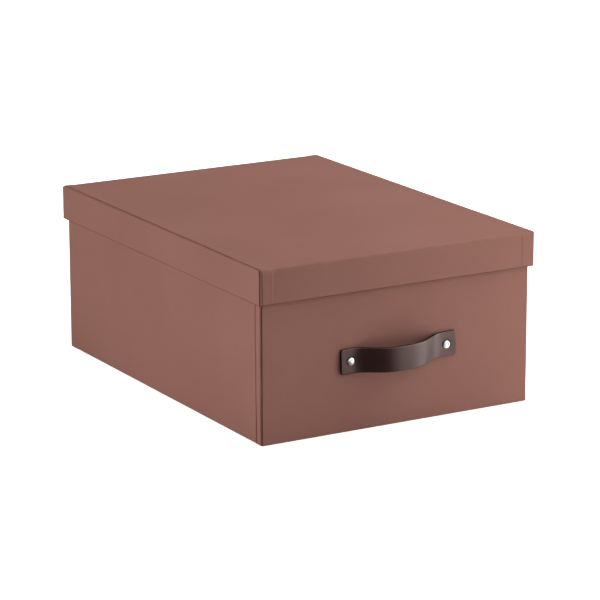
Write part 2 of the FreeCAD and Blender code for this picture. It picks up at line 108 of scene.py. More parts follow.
def ease(value: np.ndarray, start: float, stop: float) -> np.ndarray:
    """Smooth step: with t the share of the way from start to stop, held to 0 to 1, it is 3 t^2 - 2 t^3.

    Args:
        value: Where to take the step.
        start: Value at which the step begins.
        stop: Value at which it has reached one.

    Returns:
        The step, from 0 to 1.
    """
    share = np.clip((value - start) / (stop - start), 0.0, 1.0)
    return share * share * (3.0 - 2.0 * share)


def bell(value: np.ndarray, centre: float | np.ndarray, width: float) -> np.ndarray:
    """Bell curve: e to minus the square of the distance from the centre over the width."""
    return np.exp(-(((value - centre) / width) ** 2))


def sway(first: np.ndarray, second: np.ndarray, shortest: float, longest: float, seed: int,
         count: int = 9) -> np.ndarray:
    """Uneven swell over a sheet: the sum of plane waves of seeded direction, length and phase.

    Each wave is the sine of 2 pi over its length times the distance along its own direction, plus its
    phase. The sum is divided by the square root of half their number, so it stays near -1 to 1.

    Args:
        first: Distance along the sheet in mm.
        second: Distance across the sheet in mm.
        shortest: Shortest wave in mm.
        longest: Longest wave in mm.
        seed: Seed of the waves.
        count: Number of waves.

    Returns:
        The swell at each point.
    """
    random = np.random.default_rng(seed)
    heading = random.uniform(0.0, math.pi, count)
    turns = 2.0 * math.pi / random.uniform(shortest, longest, count)
    phase = random.uniform(0.0, 2.0 * math.pi, count)
    first, second = np.broadcast_arrays(np.asarray(first, float), np.asarray(second, float))
    along = first[..., None] * np.cos(heading) + second[..., None] * np.sin(heading)
    return np.sin(turns * along + phase).sum(axis=-1) / math.sqrt(count / 2.0)


def stops(*knots: tuple[float, int]) -> np.ndarray:
    """Positions of a grid's lines: even steps from each knot to the next.

    Args:
        knots: Pairs of a position and the number of cells up to the next position.

    Returns:
        All positions in order.
    """
    runs = [np.linspace(a, b, cells + 1)[:-1] for (a, cells), (b, _) in zip(knots, knots[1:])]
    return np.concatenate([*runs, [knots[-1][0]]])


def mirrored_stops(*knots: tuple[float, int]) -> np.ndarray:
    """Positions of a grid's lines that are alike on both sides of nought.

    Args:
        knots: Pairs of a position below nought and the number of cells up to the next one. The last
            number is for the cells across the middle.

    Returns:
        All positions in order.
    """
    places = [place for place, _ in knots]
    counts = [count for _, count in knots]
    return stops(*zip(places + [-place for place in places[::-1]], counts + counts[:-1][::-1] + [1]))


def folded_line(corners: Sequence[tuple[float, float]], radii: Sequence[float], cells: Sequence[int],
                fold_cells: int = 8) -> np.ndarray:
    """Line through the corners with each inner corner rounded to its own radius.

    A corner's arc is its centre plus the radius times a unit vector that turns evenly from one side's
    normal to the next one's. Each straight run is divided evenly, with one more point close to both ends
    so that the shading of a fold stays on the fold.

    Args:
        corners: Corners of the line in mm.
        radii: Radius of each inner corner in mm.
        cells: Even cells along each straight run.
        fold_cells: Cells along each arc.

    Returns:
        The line's points, one row each.
    """
    corners = np.asarray(corners, float)
    ways = np.diff(corners, axis=0)
    ways /= np.linalg.norm(ways, axis=1)[:, None]
    runs = []
    start = corners[0]
    for number, way in enumerate(ways):
        inner = number < len(ways) - 1
        stop = corners[number + 1]
        if inner:
            following = ways[number + 1]
            turn = math.atan2(way[0] * following[1] - way[1] * following[0], float(way @ following))
            stop = stop - way * abs(radii[number] * math.tan(turn / 2.0))
        length = float(np.linalg.norm(stop - start))
        guard = min(0.3, length / 4.0) / length
        share = np.concatenate(([0.0], np.linspace(guard, 1.0 - guard, cells[number] + 1), [1.0]))
        runs.append(start + (stop - start) * share[:, None])
        if inner:
            spoke = -math.copysign(radii[number], turn) * np.array([-way[1], way[0]])
            angle = np.linspace(0.0, turn, fold_cells + 1)[1:, None]
            arc = stop - spoke + spoke * np.cos(angle) + np.array([-spoke[1], spoke[0]]) * np.sin(angle)
            start = arc[-1]
            runs.append(arc[:-1])
    return np.concatenate(runs)


def left_of(line: np.ndarray) -> np.ndarray:
    """Unit vectors square to a line, on its left: its even tangent, turned by 90 degrees."""
    ways = np.diff(line, axis=0)
    ways /= np.linalg.norm(ways, axis=1)[:, None]
    tangent = np.vstack([ways[:1], ways[:-1] + ways[1:], ways[-1:]])
    tangent /= np.linalg.norm(tangent, axis=1)[:, None]
    return np.stack([-tangent[:, 1], tangent[:, 0]], axis=1)


def on_outside(offset: np.ndarray) -> np.ndarray:
    """One where a profile lies on the outer faces, and nought inside."""
    return (offset < OUTER_DEPTH) * 1.0


def pad_rows(values: np.ndarray) -> np.ndarray:
    """The grid of values with its first and last rows repeated once."""
    return np.concatenate([values[:1], values, values[-1:]])


def corner_points(mesh: bpy.types.Mesh) -> np.ndarray:
    """The point that each corner of the mesh's faces lies on."""
    corners = np.empty(len(mesh.loops), np.int32)
    mesh.loops.foreach_get("vertex_index", corners)
    return corners


@dataclass
class Patch:
    """One grid of a surface.

    Attributes:
        points: Rows by columns by X, Y and Z, in mm.
        keep: Which cells the material covers; all of them where it is None.
        marks: Named values at the points, which the finishes read.
        turned: Whether the faces are turned over, so that they point outwards.
        ring: Whether the last column joins the first.
    """

    points: np.ndarray
    keep: np.ndarray | None = None
    marks: dict[str, np.ndarray] = field(default_factory=dict)
    turned: bool = False
    ring: bool = False

    def faces(self) -> np.ndarray:
        """Corners of the kept cells, four to a row."""
        rows, columns = self.points.shape[:2]
        number = np.arange(rows * columns).reshape(rows, columns)
        if self.ring:
            number = np.hstack([number, number[:, :1]])
        cells = np.stack([number[:-1, :-1], number[1:, :-1], number[1:, 1:], number[:-1, 1:]], axis=-1)
        cells = cells[self.keep] if self.keep is not None else cells.reshape(-1, 4)
        return cells[:, ::-1] if self.turned else cells


@dataclass
class Piece:
    """One physical piece, made of patches that join where they touch.

    Attributes:
        name: Name of the piece.
        body: Body it rides on.
        slot: Material slot of the record; not used.
        node: CAD node it stands for.
        patches: Its surfaces.
        finishes: Materials; the second one is for the cut edges of a sheet.
        thickness: Thickness of a sheet in mm, laid inwards; 0 for a closed surface.
        crisp: Angle in degrees from which an edge is shaded sharp.
    """

    name: str
    body: Body
    slot: str
    node: str
    patches: list[Patch]
    finishes: list[bpy.types.Material]
    thickness: float = 0.0
    crisp: float = 40.0

    def build(self) -> bpy.types.Object:
        """Make the mesh, give it its thickness and set it in the frame.

        Returns:
            The finished object.
        """
        points = np.concatenate([patch.points.reshape(-1, 3) for patch in self.patches]) * MM
        first = np.cumsum([0] + [patch.points.size // 3 for patch in self.patches])
        faces = np.concatenate([patch.faces() + start for patch, start in zip(self.patches, first)])
        mesh = bpy.data.meshes.new(self.name)
        mesh.from_pydata(points.tolist(), [], faces.tolist())
        names = sorted({name for patch in self.patches for name in patch.marks})
        for name in names:
            values = [np.broadcast_to(patch.marks.get(name, 0.0), patch.points.shape[:2]).ravel()
                      for patch in self.patches]
            mark = mesh.attributes.new(name, "FLOAT", "POINT")
            mark.data.foreach_set("value", np.concatenate(values).astype(np.float32))
        self.join(mesh)
        for material in self.finishes:
            mesh.materials.append(material)
        piece = bpy.data.objects.new(self.name, mesh)
        bpy.context.scene.collection.objects.link(piece)
        if self.thickness:
            self.thicken(piece)
        piece.data.polygons.foreach_set("use_smooth", [True] * len(piece.data.polygons))
        piece.data.set_sharp_from_angle(angle=math.radians(self.crisp))
        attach(piece, self.body.value)
        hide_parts(self.node)
        log.info("%s: %d faces on %s", self.name, len(piece.data.polygons), self.body.value)
        return piece

    def join(self, mesh: bpy.types.Mesh) -> None:
        """Merge points that lie in one place, which closes poles and mitres, and drop loose ones."""
        work = bmesh.new()
        work.from_mesh(mesh)
        bmesh.ops.remove_doubles(work, verts=work.verts, dist=2e-6)
        loose = [corner for corner in work.verts if not corner.link_faces]
        bmesh.ops.delete(work, geom=loose, context="VERTS")
        work.to_mesh(mesh)
        work.free()

    def thicken(self, piece: bpy.types.Object) -> None:
        """Give a sheet its thickness on the inner side, with its cut edges in their own finish."""
        solid = piece.modifiers.new("thickness", "SOLIDIFY")
        solid.thickness = self.thickness * MM
        solid.offset = -1.0
        solid.use_rim = True
        solid.material_offset_rim = 1 if len(self.finishes) > 1 else 0
        graph = bpy.context.evaluated_depsgraph_get()
        mesh = bpy.data.meshes.new_from_object(piece.evaluated_get(graph))
        thin = piece.data
        piece.modifiers.clear()
        piece.data = mesh
        mesh.name = self.name
        bpy.data.meshes.remove(thin)


class Nodes:
    """Builds the nodes of one tree. Most methods add a node and return its output."""

    def __init__(self, tree: bpy.types.NodeTree) -> None:
        """Start with an empty tree."""
        self.tree = tree
        tree.nodes.clear()

    def add(self, kind: str, **values: float | tuple[float, ...]) -> bpy.types.Node:
        """Add a node of a kind, with its inputs set."""
        node = self.tree.nodes.new("ShaderNode" + kind)
        self.fill(node, **values)
        return node

    def fill(self, node: bpy.types.Node, **values: float | tuple[float, ...]) -> None:
        """Set a node's inputs by name; a word's underscores stand for spaces."""
        for name, value in values.items():
            node.inputs[name.replace("_", " ").title().replace("Ior", "IOR")].default_value = value

    def link(self, source: Socket, node: bpy.types.Node, target: str | int) -> None:
        """Join an output to a node's input."""
        self.tree.links.new(source, node.inputs[target])

    def spread(self, source: Socket, low: float, high: float, to_low: float = 0.0,
               to_high: float = 1.0) -> Socket:
        """The source's range low to high carried onto another range, and held to it."""
        node = self.add("MapRange", from_min=low, from_max=high, to_min=to_low, to_max=to_high)
        self.link(source, node, "Value")
        return node.outputs["Result"]

    def count(self, operation: str, first: Socket,
              second: Socket | float) -> Socket:
        """Arithmetic on two values."""
        node = self.add("Math")
        node.operation = operation
        self.link(first, node, 0)
        if isinstance(second, float):
            node.inputs[1].default_value = second
        else:
            self.link(second, node, 1)
        return node.outputs["Value"]

    def mixed(self, share: Socket, first: Socket,
              second: Socket) -> Socket:
        """Shader that goes from the first to the second as the share goes from 0 to 1."""
        node = self.add("MixShader")
        for place, source in enumerate((share, first, second)):
            self.link(source, node, place)
        return node.outputs[0]

    def looking(self) -> Socket:
        """One for a ray from the camera, or one that a reflection or glass sends on."""
        path = self.add("LightPath").outputs
        seen = self.count("MAXIMUM", path["Is Camera Ray"], path["Is Glossy Ray"])
        return self.count("MAXIMUM", seen, path["Is Transmission Ray"])


class Bench(Nodes):
    """Builds one material round its shader."""

    def __init__(self, name: str) -> None:
        """Start a material with a shader, an output and Object coordinates."""
        self.material = bpy.data.materials.new(name)
        self.material.use_nodes = True
        super().__init__(self.material.node_tree)
        self.shader = self.add("BsdfPrincipled")
        self.link(self.shader.outputs["BSDF"], self.add("OutputMaterial"), "Surface")
        self.place = self.add("TexCoord").outputs["Object"]

    def set(self, **values: float | tuple[float, ...]) -> None:
        """Set the shader's own inputs."""
        self.fill(self.shader, **values)

    def stretch(self, source: Socket, scale: Triple,
                turn: Triple = (0.0, 0.0, 0.0)) -> Socket:
        """Coordinates turned and scaled along each axis."""
        node = self.add("Mapping", scale=scale, rotation=turn)
        self.link(source, node, "Vector")
        return node.outputs["Vector"]

    def noise(self, scale: float, detail: float = 3.0, rough: float = 0.5,
              source: Socket | None = None) -> Socket:
        """Cloudy noise; scale counts its cells along one metre."""
        node = self.add("TexNoise", scale=scale, detail=detail, roughness=rough)
        self.link(source or self.place, node, "Vector")
        return node.outputs["Fac"]

    def streaks(self, scale: Triple, detail: float = 3.0, rough: float = 0.6,
                turn: Triple = (0.0, 0.0, 0.0)) -> Socket:
        """Noise drawn out along an axis; scale counts its cells along one metre of each axis."""
        return self.noise(1.0, detail, rough, self.stretch(self.place, scale, turn))

    def cells(self, scale: float, source: Socket) -> Socket:
        """Distance in a pattern of uneven cells; scale counts them along one metre."""
        node = self.add("TexVoronoi", scale=scale)
        node.feature = "SMOOTH_F1"
        self.link(source, node, "Vector")
        return node.outputs["Distance"]

    def tint(self, factor: Socket, first: Socket | tuple[float, ...],
             second: Socket | tuple[float, ...]) -> Socket:
        """Colour that goes from the first to the second as the factor goes from 0 to 1."""
        node = self.add("Mix")
        node.data_type = "RGBA"
        self.link(factor, node, 0)
        for place, colour in ((6, first), (7, second)):
            if isinstance(colour, tuple):
                node.inputs[place].default_value = (*colour, 1.0)
            else:
                self.link(colour, node, place)
        return node.outputs[2]

    def mark(self, name: str) -> Socket:
        """A value that the mesh carries at its points."""
        node = self.add("Attribute")
        node.attribute_name = name
        return node.outputs["Fac"]

    def paint(self, colour: Socket) -> None:
        """Give the shader its colour."""
        self.link(colour, self.shader, "Base Color")

    def roughen(self, source: Socket, smooth: float, rough: float) -> None:
        """Give the shader a roughness that follows a noise."""
        self.link(self.spread(source, *COMMON, smooth, rough), self.shader, "Roughness")

    def bump(self, height: Socket, depth: float) -> None:
        """Raise the surface by the height times a depth in metres, on top of earlier bumps."""
        node = self.add("Bump", strength=1.0, distance=depth)
        self.link(height, node, "Height")
        normal = self.shader.inputs["Normal"]
        if normal.is_linked:
            self.link(normal.links[0].from_socket, node, "Normal")
        self.tree.links.new(node.outputs["Normal"], normal)


@dataclass(frozen=True)
class CoveringPaper:
    """Matt dyed paper with short pressed fibres, with painted shade in its creases, grooves and under the
    lid's edge, rubbed on its folds and with painted highlights on some folds and ridges.

    Attributes:
        name: Name of the material.
        light: Linear colour of its lighter parts.
        dark: Linear colour of its darker parts.
        crease: Linear colour of the painted shade in grooves, at cut edges, along seams and under the lid's
            edge.
        worn_and_highlit: Linear colour where the dye has rubbed off, also used as a painted highlight along
            folds and ridges.
    """

    name: str = "covering_paper"
    light: Triple = (0.300, 0.144, 0.115)
    dark: Triple = (0.275, 0.129, 0.1015)
    crease: Triple = (0.085, 0.020, 0.009)
    worn_and_highlit: Triple = (0.380, 0.210, 0.175)

    def material(self) -> bpy.types.Material:
        """Make the material."""
        bench = Bench(self.name)
        clouds = bench.noise(9.0, 4.0, 0.55)
        fibres = bench.streaks((900.0, 420.0, 900.0), 4.0, turn=(0.3, 0.2, 0.5))
        flecks = bench.streaks((380.0, 950.0, 640.0), turn=(0.0, 0.5, 1.1))
        tone = bench.count("ADD", bench.spread(clouds, 0.30, 0.70, 0.1, 0.9),
                           bench.spread(fibres, 0.25, 0.75, -0.35, 0.35))
        colour = bench.tint(bench.spread(tone, 0.0, 1.0), self.dark, self.light)
        # Rubbed spots and painted highlights on folds lighten the colour; painted shade in grooves, seams
        # and under the lid's edge darkens it.
        rubbed = bench.count("MULTIPLY", bench.mark("wear"), bench.spread(flecks, 0.42, 0.62, 0.15, 1.0))
        colour = bench.tint(rubbed, colour, self.worn_and_highlit)
        colour = bench.tint(bench.mark("crease"), colour, self.crease)
        bench.paint(colour)
        bench.roughen(flecks, 0.78, 0.92)
        bench.set(specular_ior_level=0.07)
        bench.bump(bench.count("ADD", fibres, flecks), 0.00006)
        bench.bump(bench.noise(140.0, 2.0), 0.00008)
        return bench.material


@dataclass(frozen=True)
class ShadedCutEdge:
    """Cut edge of the covering paper, coloured dark as painted shade along the sheets' edges."""

    light: Triple = (0.120, 0.048, 0.036)
    dark: Triple = (0.055, 0.020, 0.014)

    def material(self) -> bpy.types.Material:
        """Make the material."""
        bench = Bench("paper_cut_edge_shade")
        fibres = bench.noise(1400.0, 3.0, 0.6)
        bench.paint(bench.tint(bench.spread(fibres, *COMMON), self.dark, self.light))
        bench.roughen(fibres, 0.8, 0.95)
        bench.bump(fibres, 0.00005)
        return bench.material


@dataclass(frozen=True)
class LiningPaper:
    """Plain matt lining paper with laid fibres."""

    light: Triple = (0.345, 0.178, 0.146)
    dark: Triple = (0.310, 0.155, 0.126)

    def material(self) -> bpy.types.Material:
        """Make the material."""
        bench = Bench("lining_paper")
        clouds = bench.noise(14.0, 4.0, 0.6)
        laid = bench.streaks((1100.0, 260.0, 1100.0))
        tone = bench.count("ADD", bench.spread(clouds, *COMMON, 0.1, 0.9),
                           bench.spread(laid, 0.25, 0.75, -0.4, 0.4))
        bench.paint(bench.tint(bench.spread(tone, 0.0, 1.0), self.dark, self.light))
        bench.roughen(laid, 0.82, 0.95)
        bench.set(specular_ior_level=0.25)
        bench.bump(laid, 0.00006)
        return bench.material


@dataclass(frozen=True)
class Fibreboard:
    """Grey-brown board of pressed waste paper with lighter and darker flecks."""

    light: Triple = (0.46, 0.38, 0.29)
    dark: Triple = (0.34, 0.27, 0.20)

    def material(self) -> bpy.types.Material:
        """Make the material."""
        bench = Bench("fibreboard")
        flecks = bench.noise(420.0, 4.0, 0.65)
        layers = bench.streaks((60.0, 60.0, 2600.0), 2.0, 0.5)
        tone = bench.count("ADD", bench.spread(flecks, *COMMON, 0.0, 0.8),
                           bench.spread(layers, *COMMON, 0.0, 0.3))
        bench.paint(bench.tint(bench.spread(tone, 0.0, 1.0), self.dark, self.light))
        bench.roughen(flecks, 0.85, 0.97)
        bench.bump(flecks, 0.0001)
        return bench.material


@dataclass(frozen=True)
class StrapLeather:
    """Dark brown satin leather: pebbled grain on its face, sealed black edges and a rough back.

    Attributes:
        high: Linear colour on top of the grain.
        deep: Linear colour between the grain's pebbles.
        edge: Linear colour of the sealed edges and of the painted shadow ring round each rivet.
        back: Linear colour of the rough back.
    """

    high: Triple = (0.034, 0.009, 0.008)
    deep: Triple = (0.019, 0.006, 0.005)
    edge: Triple = (0.012, 0.006, 0.006)
    back: Triple = (0.060, 0.034, 0.024)

    def material(self) -> bpy.types.Material:
        """Make the material. The grain follows the strap by its UV map, in metres."""
        bench = Bench("strap_leather")
        unrolled = bench.add("TexCoord").outputs["UV"]
        pebbles = bench.cells(1500.0, unrolled)
        pores = bench.noise(3200.0, 3.0, 0.6, unrolled)
        clouds = bench.noise(90.0, 3.0, 0.5, unrolled)
        grain = bench.count("ADD", bench.spread(pebbles, 0.0, 0.7, 1.0, 0.0),
                            bench.spread(pores, *COMMON, -0.3, 0.3))
        face = bench.tint(bench.spread(grain, 0.0, 1.0), self.deep, self.high)
        face = bench.tint(bench.spread(clouds, 0.35, 0.75, 0.0, 0.35), face, self.high)
        face = bench.tint(bench.mark("back"), face, self.back)
        face = bench.tint(bench.mark("edge"), face, self.edge)
        bench.paint(face)
        gloss = bench.count("ADD", bench.spread(grain, 0.0, 1.0, 0.42, 0.33),
                            bench.count("MULTIPLY", bench.mark("back"), 0.4))
        bench.link(gloss, bench.shader, "Roughness")
        bench.set(specular_ior_level=0.74, specular_tint=(1.0, 0.78, 0.71, 1.0))
        bench.bump(grain, 0.00005)
        return bench.material


@dataclass(frozen=True)
class SealedEdge:
    """Dull black wax on the strap's edges, also used for a painted shadow ring round each rivet."""

    light: Triple = (0.010, 0.005, 0.005)
    dark: Triple = (0.004, 0.002, 0.002)

    def material(self) -> bpy.types.Material:
        """Make the material."""
        bench = Bench("sealed_leather_edge")
        layers = bench.streaks((900.0, 5200.0, 900.0))
        bench.paint(bench.tint(bench.spread(layers, *COMMON), self.dark, self.light))
        bench.roughen(layers, 0.5, 0.7)
        bench.set(specular_ior_level=0.1)
        bench.bump(layers, 0.00003)
        return bench.material


@dataclass(frozen=True)
class NickelPlate:
    """Bright nickel plate with fine polishing marks.

    Attributes:
        name: Name of the material.
        bright: Linear colour of the clean metal.
        dull: Linear colour where it has dulled.
        smooth: Roughness of the clean metal.
        rough: Roughness where it has dulled.
        metal: Share of the surface that is bare metal; the rest is milky lacquer.
    """

    name: str = "nickel_plate"
    bright: Triple = (0.95, 0.93, 0.91)
    dull: Triple = (0.74, 0.71, 0.68)
    smooth: float = 0.16
    rough: float = 0.34
    metal: float = 0.7

    def material(self) -> bpy.types.Material:
        """Make the material."""
        bench = Bench(self.name)
        clouds = bench.noise(700.0, 3.0, 0.6)
        marks = bench.streaks((900.0, 900.0, 7000.0), 2.0, 0.5, (0.0, 0.6, 0.0))
        bench.paint(bench.tint(bench.spread(clouds, 0.45, 0.75), self.bright, self.dull))
        bench.roughen(marks, self.smooth, self.rough)
        bench.set(metallic=self.metal)
        bench.bump(marks, 0.000004)
        return bench.material


@dataclass(frozen=True)
class Finishes:
    """The object's materials, made once and shared by its pieces."""

    paper: bpy.types.Material
    cut: bpy.types.Material
    lining: bpy.types.Material
    board: bpy.types.Material
    leather: bpy.types.Material
    sealed: bpy.types.Material
    nickel: bpy.types.Material
    steel: bpy.types.Material

    @classmethod
    def mix(cls) -> "Finishes":
        """Make every material."""
        return cls(
            paper=CoveringPaper().material(),
            cut=ShadedCutEdge().material(),
            lining=LiningPaper().material(),
            board=Fibreboard().material(),
            leather=StrapLeather().material(),
            sealed=SealedEdge().material(),
            nickel=NickelPlate().material(),
            steel=NickelPlate(name="washer_steel", bright=(0.62, 0.60, 0.58), dull=(0.42, 0.40, 0.38),
                              smooth=0.3, rough=0.5, metal=1.0).material(),
        )


def covering(word: str, body: Body, patch: Patch, finishes: Finishes) -> bpy.types.Object:
    """Build one sheet of covering paper, whose cut edges have their own finish.

    Args:
        word: Start of the sheet's name and of its node's.
        body: Body it rides on.
        patch: Its outer face.
        finishes: The object's materials.

    Returns:
        The sheet.
    """
    return Piece(f"{word}_covering", body, "covering_paper", f"{word}_sheet", [patch],
                 [finishes.paper, finishes.cut], PAPER).build()


@dataclass
class CornerRun:
    """Way round one long side of a rectangle in plan, with a lap round each of its two corners.

    Every point has an anchor on the sharp rectangle and a direction outwards. Carried inwards by an
    offset o, it lies at the anchor moved into the rectangle made smaller by m, plus the direction times
    m - o, where m is the larger of o and the corner's radius. So the run is round outside and its inner
    offsets meet in a sharp mitre.

    Attributes:
        half: Half size of the rectangle along the run and across it, in mm.
        radius: Radius of the rectangle's corners.
        lap_stops: Distances from the corner at which a lap has grid lines, its outermost edge first.
        side_stops: Grid lines along the straight run.
        corner_cells: Cells round each corner.
    """

    half: tuple[float, float]
    radius: float
    lap_stops: Sequence[float]
    side_stops: np.ndarray
    corner_cells: int = 8

    def __post_init__(self) -> None:
        """Lay out the anchors and directions in run coordinates: along first, outwards second."""
        along, out = self.half
        lap = np.asarray(self.lap_stops, float)
        angle = np.linspace(0.0, math.pi / 2.0, self.corner_cells + 1)
        corner = np.full(len(angle), along)
        straight = len(self.side_stops) - 2
        laps = np.concatenate([np.full(len(lap), along), corner, self.side_stops[::-1][1:-1]])
        depth = np.concatenate([out - lap, np.full(len(angle), out), np.full(straight, out)])
        toward = np.concatenate([np.ones(len(lap)), np.cos(angle), np.zeros(straight)])
        away = np.concatenate([np.zeros(len(lap)), np.sin(angle), np.ones(straight)])
        first = np.stack([laps, depth], axis=1)
        first_way = np.stack([toward, away], axis=1)
        # The other lap and corner mirror the first ones.
        tail = len(lap) + len(angle)
        mirror = np.array([-1.0, 1.0])
        self.anchors = np.vstack([first, (first[:tail] * mirror)[::-1]])
        self.ways = np.vstack([first_way, (first_way[:tail] * mirror)[::-1]])
        kinds = np.concatenate([np.zeros(len(lap)), np.ones(len(angle)), np.full(straight, 2)])
        self.kinds = np.concatenate([kinds, kinds[:tail][::-1]]).astype(int)

    def carry(self, offset: np.ndarray) -> np.ndarray:
        """Points of the run at each offset.

        Args:
            offset: Distances inwards in mm, one for each column.

        Returns:
            Rows by columns by the place along the run and out from the middle.
        """
        kept = np.maximum(offset, self.radius)[None, :, None]
        limit = np.array(self.half)[None, None, :] - kept
        centre = np.clip(self.anchors[:, None, :], -limit, limit)
        return centre + self.ways[:, None, :] * (kept - offset[None, :, None])


@dataclass
class BoxCovering:
    """Covering paper of the box's four walls and its cut edges.

    Attributes:
        half_width: Middle to the face of a long wall, in mm.
        half_length: Middle to the face of a short wall.
        rim: Height of the rim.
        under: Height of the covering's turned-under face.
        wall: Wall with its paper on both faces.
        turn_in: Depth to which the covering turns down inside.
        turn_under: Width of the covering turned under.
        lap: How far an end sheet laps round a corner.
        setback: Corner to the edge of a side sheet.
        slope: Width over which a sheet climbs onto a front lap.
        rear_slope: The same at the rear laps, which don't show.
        corner_radius: Rounding of the upright corners.
        rim_radius: Rounding of the rim's edges.
        foot_radius: Rounding of the lower edge.
        swell: How far the walls' faces swell.
        waver: How far the cut edges waver.
        foot_fade: Heights between which the swell sets in above the foot.
        skirt_fade: Heights between which it ends under the lid's skirt.
    """

    finishes: Finishes
    half_width: float = 128.75
    half_length: float = 176.5
    rim: float = 146.05
    under: float = 0.35
    wall: float = 2.7
    turn_in: float = 15.0
    turn_under: float = 12.0
    lap: float = 9.0
    setback: float = 1.8
    slope: float = 1.5
    rear_slope: float = 7.0
    corner_radius: float = 0.9
    rim_radius: float = 1.1
    foot_radius: float = 0.8
    swell: float = 0.07
    waver: float = 0.25
    foot_fade: tuple[float, float] = (2.0, 14.0)
    skirt_fade: tuple[float, float] = (128.0, 144.0)

    def open_face(self, offset: np.ndarray, height: np.ndarray) -> np.ndarray:
        """One on the open part of a wall's face, fading towards its foot and the lid's skirt."""
        return ease(height, *self.foot_fade) * (1.0 - ease(height, *self.skirt_fade)) * (offset < 0.01)

    def profile(self) -> np.ndarray:
        """Section of a sheet: in from under the box, up the wall, over the rim and down inside.

        Returns:
            Offset inwards from the wall's face, and height, one row each.
        """
        return folded_line(
            [(self.turn_under, self.under), (0.0, self.under), (0.0, self.rim),
             (self.wall, self.rim), (self.wall, self.rim - self.turn_in)],
            [self.foot_radius, self.rim_radius, self.rim_radius],
            [8, 48, 1, 8])

    def end_sheet(self, end: End) -> bpy.types.Object:
        """Covering of a short wall, lapped round both corners. The face swells by under 0.1 mm.

        Args:
            end: Which short wall.

        Returns:
            The sheet.
        """
        near = self.setback
        corner = self.half_length - self.setback
        run = CornerRun(
            half=(self.half_width, self.half_length), radius=self.corner_radius,
            lap_stops=[self.lap, self.lap - 0.3, 5.0, near + 0.5, near, 1.4],
            side_stops=mirrored_stops((-self.half_width + self.corner_radius, 1),
                                      (-self.half_width + 1.3, 3), (-self.half_width + 6.0, 60)))
        profile = self.profile()
        offset, height = profile.T
        flat = run.carry(offset)
        swell = self.swell * sway(flat[..., 0], height[None, :], 55.0, 160.0, Seed.BOX_END + end.value)
        face = (run.kinds[:, None] == 2) * self.open_face(offset, height)
        face = face * ease(self.half_width - np.abs(flat[..., 0]), 1.0, 12.0)
        out = flat[..., 1] + swell * face
        points = np.stack([flat[..., 0], end.value * out, np.broadcast_to(height, out.shape)], axis=-1)
        keep = self.end_cut(run, offset, height)
        # Painted shade round the upright corners; the rim's and foot's folds are rubbed.
        marks = {"crease": self.corner_shade(flat, offset, height, corner),
                 "wear": self.rub(offset, height)}
        patch = Patch(points, keep, marks, turned=end is End.FRONT)
        return covering(end.word, Body.BOX, patch, self.finishes)

    def end_cut(self, run: CornerRun, offset: np.ndarray, height: np.ndarray) -> np.ndarray:
        """Cells that the end sheet covers: it isn't turned in or under beyond its mitred corners."""
        kind = np.minimum(run.kinds[:-1], run.kinds[1:])[:, None]
        arc = (run.kinds[:-1] == 1) & (run.kinds[1:] == 1)
        depth = np.maximum(offset[:-1], offset[1:])[None, :]
        middle = ((height[:-1] + height[1:]) / 2.0)[None, :]
        from_corner = (self.half_length - run.anchors[:, 1])[:, None]
        close = np.maximum(from_corner[:-1], from_corner[1:]) <= self.setback + 1e-6
        face = (depth < 1e-6) & (middle > 0.7) & (middle < self.rim - 0.4)
        keep = (kind == 2) | face
        keep = keep | (arc[:, None] & (depth <= self.corner_radius + 1e-6))
        keep = keep | (close & (kind == 0) & (middle > 1.0) & (depth <= self.wall + 1e-6))
        keep = keep | (close & (kind == 0) & (middle < 1.0))
        return keep | (((run.kinds[:-1] == 2) | (run.kinds[1:] == 2))[:, None] & (kind >= 1))

    def corner_shade(self, flat: np.ndarray, offset: np.ndarray, height: np.ndarray,
                      corner: float) -> np.ndarray:
        """Painted shade from the side sheet's cut edge round the upright corner, which turns away from the
        lamps; widest at the left.

        Args:
            flat: Places across the box and out from its middle, in mm.
            offset: Distance inwards of each column.
            height: Height of each column.
            corner: Middle to the side sheet's cut edge.

        Returns:
            The strength of the painted shade.
        """
        edge = corner + self.cut_waver(height)
        depth = self.half_width - np.abs(flat[..., 0])
        reach = np.where(flat[..., 0] < 0.0, 1.0, 0.35)
        strip = ease(flat[..., 1], edge + 0.4, edge + 0.9) * (1.0 - ease(depth / reach, 0.55, 1.15))
        return 0.9 * strip * on_outside(offset)

    def cut_waver(self, height: np.ndarray) -> np.ndarray:
        """How far a side sheet's cut edge wavers at each height, which the corner's painted shade follows.
        """
        return self.waver * sway(height, 0.0, 18.0, 70.0, Seed.CUT_EDGE)[None, :]

    def rub(self, offset: np.ndarray, height: np.ndarray) -> np.ndarray:
        """Rubbed folds: strongest at the middle of the rim's and the foot's outer folds."""
        rim = bell(height, self.rim, 0.5) * bell(offset, 0.0, 0.6)
        foot = bell(height, self.under, 0.5) * bell(offset, 0.0, 0.6)
        return (0.12 * rim + 0.12 * foot)[None, :]

